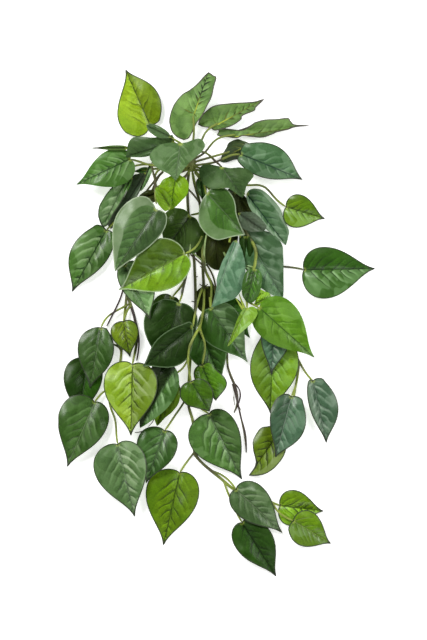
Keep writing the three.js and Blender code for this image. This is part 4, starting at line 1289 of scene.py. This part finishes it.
    Blade(1, (149.7, 124.3), (125.2, 68.5), 38, 28, Tone.LEMON, (1.25, 0.7), (0.15, 0.1), Ribs.DARK,
          quilt=0.25, veins=0.6, peak=(0.22, 0.38), lobe=(3, 1)),
    Blade(4, (127, 148), (91.7, 148), 3.5, 3.5, Tone.OLIVE, (2, 2), (0.15, 0.2), veins=0.3, edge=Edge.BARE,
          height=29.5),
    Blade(3, (174, 143), (125.5, 157), 8, 22.5, Tone.GREY, (0.55, 0.5), (0.1, 0.1), gloss=0.2, veins=0.5,
          edge=Edge.BARE, peak=(0.5, 0.72), rise=-10),
    Blade(2, (171.5, 138), (146.5, 126), 12, 12, Tone.GREY, (0.6, 0.6), (0.1, 0.25), veins=0.3,
          edge=Edge.BARE, fold=(4, -3),
          margins=(((165, 139), (157, 137.8), (151, 133.5)),
                   ((167, 131.5), (160, 127), (152, 124.3)))),
    Blade(12, (180.5, 144.3), (175.6, 181.5), 36, 40, Tone.GREY, (0.75, 0.75), (0.4, 0.35), gloss=0.1,
          quilt=0.4, veins=0.45, edge=Edge.BARE, fold=(-5, -7), rise=12,
          margins=(((188, 142.6), (194, 140.3), (199.5, 139.4), (203.4, 142), (205, 146), (203, 151),
                    (197, 157), (191, 162), (184, 170), (179, 177)),
                   ((170, 143.5), (160, 146), (152.5, 151.5), (149.8, 157), (153, 164), (161, 171),
                    (168.5, 174.6), (172.8, 178)))),
)


# Stems

# Lines along the old brown stalks, and along the roots in the air, from the stem to their ends
OLD_STALKS = (
    ((163, 172), (147, 191)), ((158, 177), (152, 191)), ((184, 172), (190, 180), (194, 190), (199, 203)),
    ((220, 160), (228, 168)), ((214, 160), (222, 167)), ((188, 196), (189, 214)),
    ((193, 253), (194, 280), (195, 310)), ((203.5, 264), (204, 287)), ((206, 266), (213, 276), (216, 290)),
    ((188, 262), (186, 280), (183, 292)), ((238, 216), (244, 228), (251, 240)),
    ((283, 266), (304, 270)), ((300, 355), (309, 372)),
)
MIDDLE_ROOTS = (
    ((227.6, 366), (231.6, 381), (238.8, 387), (241.4, 394.3), (237.9, 405), (234, 413)),
    ((232.8, 384), (237, 398.8), (241.4, 420), (245.5, 433), (246.3, 453)),
)
LEFT_ROOTS = (
    ((124, 281), (121.3, 295.8), (115.5, 308.2), (106.3, 326.4)),
    ((132, 309), (137.8, 329.7), (139, 345), (136.5, 361)),
)

# Millimetres from a line or a leaf's seat where its colour starts, and where it is full
OLD_REACH = (4.5, 2)
ROOT_REACH = (4, 1.5)
YOUNG_REACH = (35, 6)

# A root is swollen by this share less than its stem
ROOT_SLIMMING = 0.15

# Points closer than this become one, and two triangles no further off flat and off square than this a quad
STEM_WELD = 0.001 * MM
FLAT_ANGLE = math.radians(35)
SKEW_ANGLE = math.radians(60)


def near_lines(points: np.ndarray, lines: Sequence[Line], reach: Pair) -> np.ndarray:
    """How near each place is to the nearest of some lines.

    Args:
        points: Places in the plane, in metres.
        lines: The lines, each through its pixels.
        reach: Millimetres from a line where the result starts, and where it is 1.

    Returns:
        One number from 0 to 1 for each place.
    """
    near = np.zeros(len(points))
    for line in lines:
        for start, end in zip(line, line[1:]):
            a, b = (np.array(place(pixel)[:2]) for pixel in (start, end))
            along = np.clip((points - a) @ (b - a) / ((b - a) @ (b - a)), 0, 1)
            off = np.linalg.norm(points - a - along[:, None] * (b - a), axis=1) / MM
            near = np.maximum(near, smoothstep(off, *reach))
    return near


@dataclass
class Stem:
    """One trailing stem with its stalks, side stems and roots, made round and dressed."""

    node: str
    finish: StemFinish
    roots: Sequence[Line] = ()
    swell: float = 0.75
    slot: str = "stem"

    def build(self) -> bpy.types.Object:
        """Makes the stem from a merged copy of its node.

        Returns:
            The piece.
        """
        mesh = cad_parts[self.node].data.copy()
        mesh.materials.clear()
        piece = bpy.data.objects.new(self.node.replace("vine", "stem") + "_skin", mesh)
        bpy.context.scene.collection.objects.link(piece)
        bpy.ops.object.select_all(action="DESELECT")
        piece.select_set(True)
        bpy.context.view_layer.objects.active = piece
        bpy.ops.object.mode_set(mode="EDIT")
        bpy.ops.mesh.select_all(action="SELECT")
        bpy.ops.mesh.remove_doubles(threshold=STEM_WELD)
        bpy.ops.mesh.tris_convert_to_quads(face_threshold=FLAT_ANGLE, shape_threshold=SKEW_ANGLE)
        bpy.ops.object.mode_set(mode="OBJECT")
        self.thicken(mesh)
        smooth = piece.modifiers.new("round", "SUBSURF")
        smooth.levels = smooth.render_levels = 2
        bpy.ops.object.modifier_apply(modifier="round")
        bpy.ops.object.shade_smooth()
        self.dress(piece)
        return piece

    def thicken(self, mesh: bpy.types.Mesh) -> None:
        """Makes the stem thicker by the amount that rounding takes off it, and its roots by less.

        Args:
            mesh: The stem's mesh.
        """
        spots = points_of(mesh)
        normals = np.empty(spots.size)
        mesh.vertex_normals.foreach_get("vector", normals)
        root = near_lines(spots[:, :2], self.roots, ROOT_REACH)
        amount = self.swell * MM * (1 - ROOT_SLIMMING * root)
        mesh.vertices.foreach_set("co", (spots + normals.reshape(-1, 3) * amount[:, None]).ravel())

    def dress(self, piece: bpy.types.Object) -> None:
        """Writes how old each part is, then gives the stem its finish and says what it stands for.

        Args:
            piece: The stem.
        """
        points = points_of(piece.data)[:, :2]
        young = np.zeros(len(points))
        for blade in BLADES:
            seat = place(blade.seat or blade.base)
            away = np.hypot(points[:, 0] - seat.x, points[:, 1] - seat.y) / MM
            young = np.maximum(young, smoothstep(away, *YOUNG_REACH))
        root = near_lines(points, self.roots, ROOT_REACH)
        write_triples(piece.data, "growth", root, young, near_lines(points, OLD_STALKS, OLD_REACH))
        piece.data.materials.append(MATERIALS[self.finish])
        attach(piece, "root")
        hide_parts(self.node)


STEMS = (
    Stem("crown", CROWN_FINISH, slot="bark", swell=0.85),
    Stem("vine_right_back", STEM_FINISH),
    Stem("vine_right", STEM_FINISH),
    Stem("vine_mid", STEM_FINISH, MIDDLE_ROOTS),
    Stem("vine_centre", STEM_FINISH),
    Stem("vine_left", STEM_FINISH, LEFT_ROOTS),
)


# Sprigs


@dataclass
class Sprig:
    """A small shoot, bud, stalk or root: a tapered round thing along a line. Sizes are in millimetres."""

    name: str
    line: Line
    heights: Pair
    widths: Pair
    bark: Bark = Bark.OLD

    def build(self) -> bpy.types.Object:
        """Makes the sprig from a path with a round section and dresses it.

        Returns:
            The piece.
        """
        bpy.ops.object.select_all(action="DESELECT")
        bpy.ops.curve.primitive_nurbs_path_add()
        piece = bpy.context.active_object
        piece.name = self.name
        curve = piece.data
        curve.dimensions = "3D"
        curve.bevel_depth = MM / 2
        curve.bevel_resolution = 3
        curve.use_fill_caps = True
        points = curve.splines[0].points
        share = np.linspace(0, 1, len(points))
        for point, t, pixel in zip(points, share, smooth_line(np.array(self.line, float), share)):
            spot = place(pixel)
            height = self.heights[0] + (self.heights[1] - self.heights[0]) * t
            point.co = (spot.x, spot.y, height * MM, 1)
            point.radius = self.widths[0] + (self.widths[1] - self.widths[0]) * t
        bpy.ops.object.convert(target="MESH")
        bpy.ops.object.shade_smooth_by_angle(angle=SMOOTH_ANGLE)
        piece.data.name = self.name
        piece.data.materials.clear()
        piece.data.materials.append(MATERIALS[self.bark])
        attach(piece, "root")
        return piece


SPRIGS = (
    Sprig("bud_1", ((195, 277), (198, 276.5)), (3, 3.5), (2, 1)),
    Sprig("bud_2", ((195, 302), (191, 301)), (3, 3.5), (2, 1)),
    Sprig("bud_3", ((203.5, 268.5), (199.8, 266)), (4, 5), (2.4, 1)),
    Sprig("bud_4", ((204, 287), (199.4, 284)), (5, 6), (2.4, 1)),
    Sprig("bud_5", ((204, 287), (208, 284)), (5, 6), (2.4, 1)),
    Sprig("bud_6", ((190, 252), (190.3, 244)), (30, 31), (3, 1), Bark.PALE),
    Sprig("bud_7", ((226.5, 257), (223.6, 252)), (14, 15), (4, 2.4), Bark.PALE),
    Sprig("stub_1", ((193.5, 253.5), (198, 257), (204, 262)), (24, 8), (2, 2.6), Bark.PALE),
    Sprig("shoot_1", ((243, 309), (239.5, 304), (236, 298.5)), (20, 24), (4, 1), Bark.FRESH),
    Sprig("shoot_2", ((244.5, 308), (241.5, 301), (239, 293.5)), (20, 24), (4, 1), Bark.FRESH),
    Sprig("shoot_3", ((211, 307), (210.5, 302), (209.8, 297)), (12, 12), (4, 3), Bark.FRESH),
    Sprig("stalk_1", ((163, 172), (157, 177.5), (152, 184), (146.5, 191)), (40, 26), (3.4, 2.6)),
    Sprig("stalk_2", ((159, 176), (155, 183), (152, 191)), (38, 26), (3.4, 2.6)),
    Sprig("stalk_3", ((152, 167), (154.5, 178), (157, 189)), (50, 70), (3.2, 2.4)),
    Sprig("stalk_4", ((188, 189), (194, 195), (199, 202)), (30, 26), (3, 2.6)),
    Sprig("stalk_5", ((206.5, 234.5), (204.5, 244), (203.6, 255), (205, 266)), (30, 9), (2.2, 3), Bark.PALE),
    Sprig("stalk_6", ((231, 234.5), (230, 238), (229.3, 242)), (30, 27), (3, 3), Bark.FRESH),
    Sprig("stalk_7", ((206, 264), (211, 270), (214.5, 279), (216, 290)), (6, 4), (2.6, 2.6)),
    Sprig("stalk_8", ((190.5, 254.5), (196, 259), (203.5, 266)), (20, 8), (2.4, 2.4)),
    Sprig("root_1", ((233.9, 396.6), (234, 401), (234.7, 405.7)), (1.6, 1.6), (1.4, 0.7)),
    Sprig("root_2", ((238, 405.7), (239.8, 408), (241.4, 410.7)), (1.6, 1.6), (1.4, 0.7)),
    Sprig("root_3", ((154, 419), (151.5, 424), (148, 427)), (1.6, 1.6), (1.4, 0.7)),
    Sprig("root_4", ((146, 430.6), (140, 432.4), (134.5, 433)), (1.6, 1.6), (1.8, 1)),
    Sprig("root_5", MIDDLE_ROOTS[0], (2, 2), (3.2, 2)),
    Sprig("root_6", MIDDLE_ROOTS[1], (2, 2), (3, 1.8)),
)


# Studio


@dataclass
class Studio:
    """The pale floor, the soft lights and the camera above. Lengths are in metres and powers in watts."""

    floor_size: float = 12.0
    floor_glow: float = 0.55
    camera_height: float = 9.0
    focus_height: float = 0.03
    sensor: float = 36.0
    side_light: float = 0.66
    top_light: float = 0.08
    sky_fade: Pair = (0.45, 0.9)

    def build(self) -> None:
        """Makes the floor, the lights and the camera."""
        self.floor()
        self.sky()
        self.lamp("key_light", (-1.3, 1.5, 2.6), size=0.9, power=70)
        self.lamp("fill_light", (1.9, 0.5, 2.2), size=1.2, power=32)
        self.lamp("foot_light", (0.3, -2.2, 2.0), size=1.2, power=17)
        self.camera()

    def floor(self) -> None:
        """Makes the floor, which glows a little as the white ground of the photograph does."""
        bpy.ops.object.select_all(action="DESELECT")
        bpy.ops.mesh.primitive_plane_add(size=self.floor_size)
        floor = bpy.context.active_object
        floor.name = "floor"
        paper = PlainFinish("floor_paper", "f4f4f4", "f2f2f2", patch=0.5, roughness=0.8,
                            glow=self.floor_glow)
        floor.data.materials.append(paper.material())

    def sky(self) -> None:
        """Makes the even light from all round, which is weaker from straight above."""
        world = bpy.data.worlds.new("studio_light")
        world.use_nodes = True
        sky = NodeTree(world.node_tree)
        where = sky.node("ShaderNodeTexCoord", {}, {})
        split = sky.node("ShaderNodeSeparateXYZ", {}, {0: where.outputs["Generated"]})
        fade = sky.node(
            "ShaderNodeMapRange", {"interpolation_type": "SMOOTHSTEP"},
            {"Value": split.outputs["Z"], "From Min": self.sky_fade[0], "From Max": self.sky_fade[1],
             "To Min": self.side_light, "To Max": self.top_light},
        )
        back = sky.tree.nodes["Background"]
        sky.feed(back.inputs["Strength"], fade.outputs[0])
        sky.feed(back.inputs["Color"], (1.0, 1.0, 1.0))
        bpy.context.scene.world = world
        bpy.context.scene.view_settings.view_transform = "Standard"

    def lamp(self, name: str, spot: tuple[float, float, float], size: float, power: float) -> None:
        """Adds a square soft light that faces the middle of the bunch.

        Args:
            name: Its name.
            spot: Where it is.
            size: Its side.
            power: Its power.
        """
        bpy.ops.object.light_add(type="AREA", location=spot)
        lamp = bpy.context.active_object
        lamp.name = name
        lamp.data.size = size
        lamp.data.energy = power
        lamp.rotation_euler = (-Vector(spot)).to_track_quat("-Z", "Y").to_euler()

    def camera(self) -> None:
        """Makes the camera, whose frame at the bunch is the photograph's."""
        middle = place((PHOTO_SIZE[0] / 2, PHOTO_SIZE[1] / 2))
        bpy.ops.object.camera_add(location=(middle.x, middle.y, self.camera_height), rotation=(0, 0, 0))
        camera = bpy.context.active_object
        camera.name = "photo_camera"
        camera.data.sensor_width = self.sensor
        reach = self.camera_height - self.focus_height
        camera.data.lens = self.sensor * reach / (PHOTO_SIZE[1] * SCALE)
        camera.data.clip_end = 100
        bpy.context.scene.camera = camera


def mix_finishes() -> None:
    """Makes the material of each finish once."""
    for choice in (*Tone, *Bark):
        MATERIALS[choice] = choice.value.material()
    for finish in (UNDER_FINISH, RIM_FINISH, STEM_FINISH, CROWN_FINISH):
        MATERIALS[finish] = finish.material()


def main() -> None:
    """Builds the studio, the stems, the blades and the sprigs, and reports each piece."""
    logging.basicConfig(level=logging.INFO, format="%(message)s")
    Studio().build()
    mix_finishes()
    for part in (*STEMS, *BLADES, *SPRIGS):
        piece = part.build()
        LOG.info("%s: %d faces", piece.name, len(piece.data.polygons))


if __name__ == "__main__":
    main()
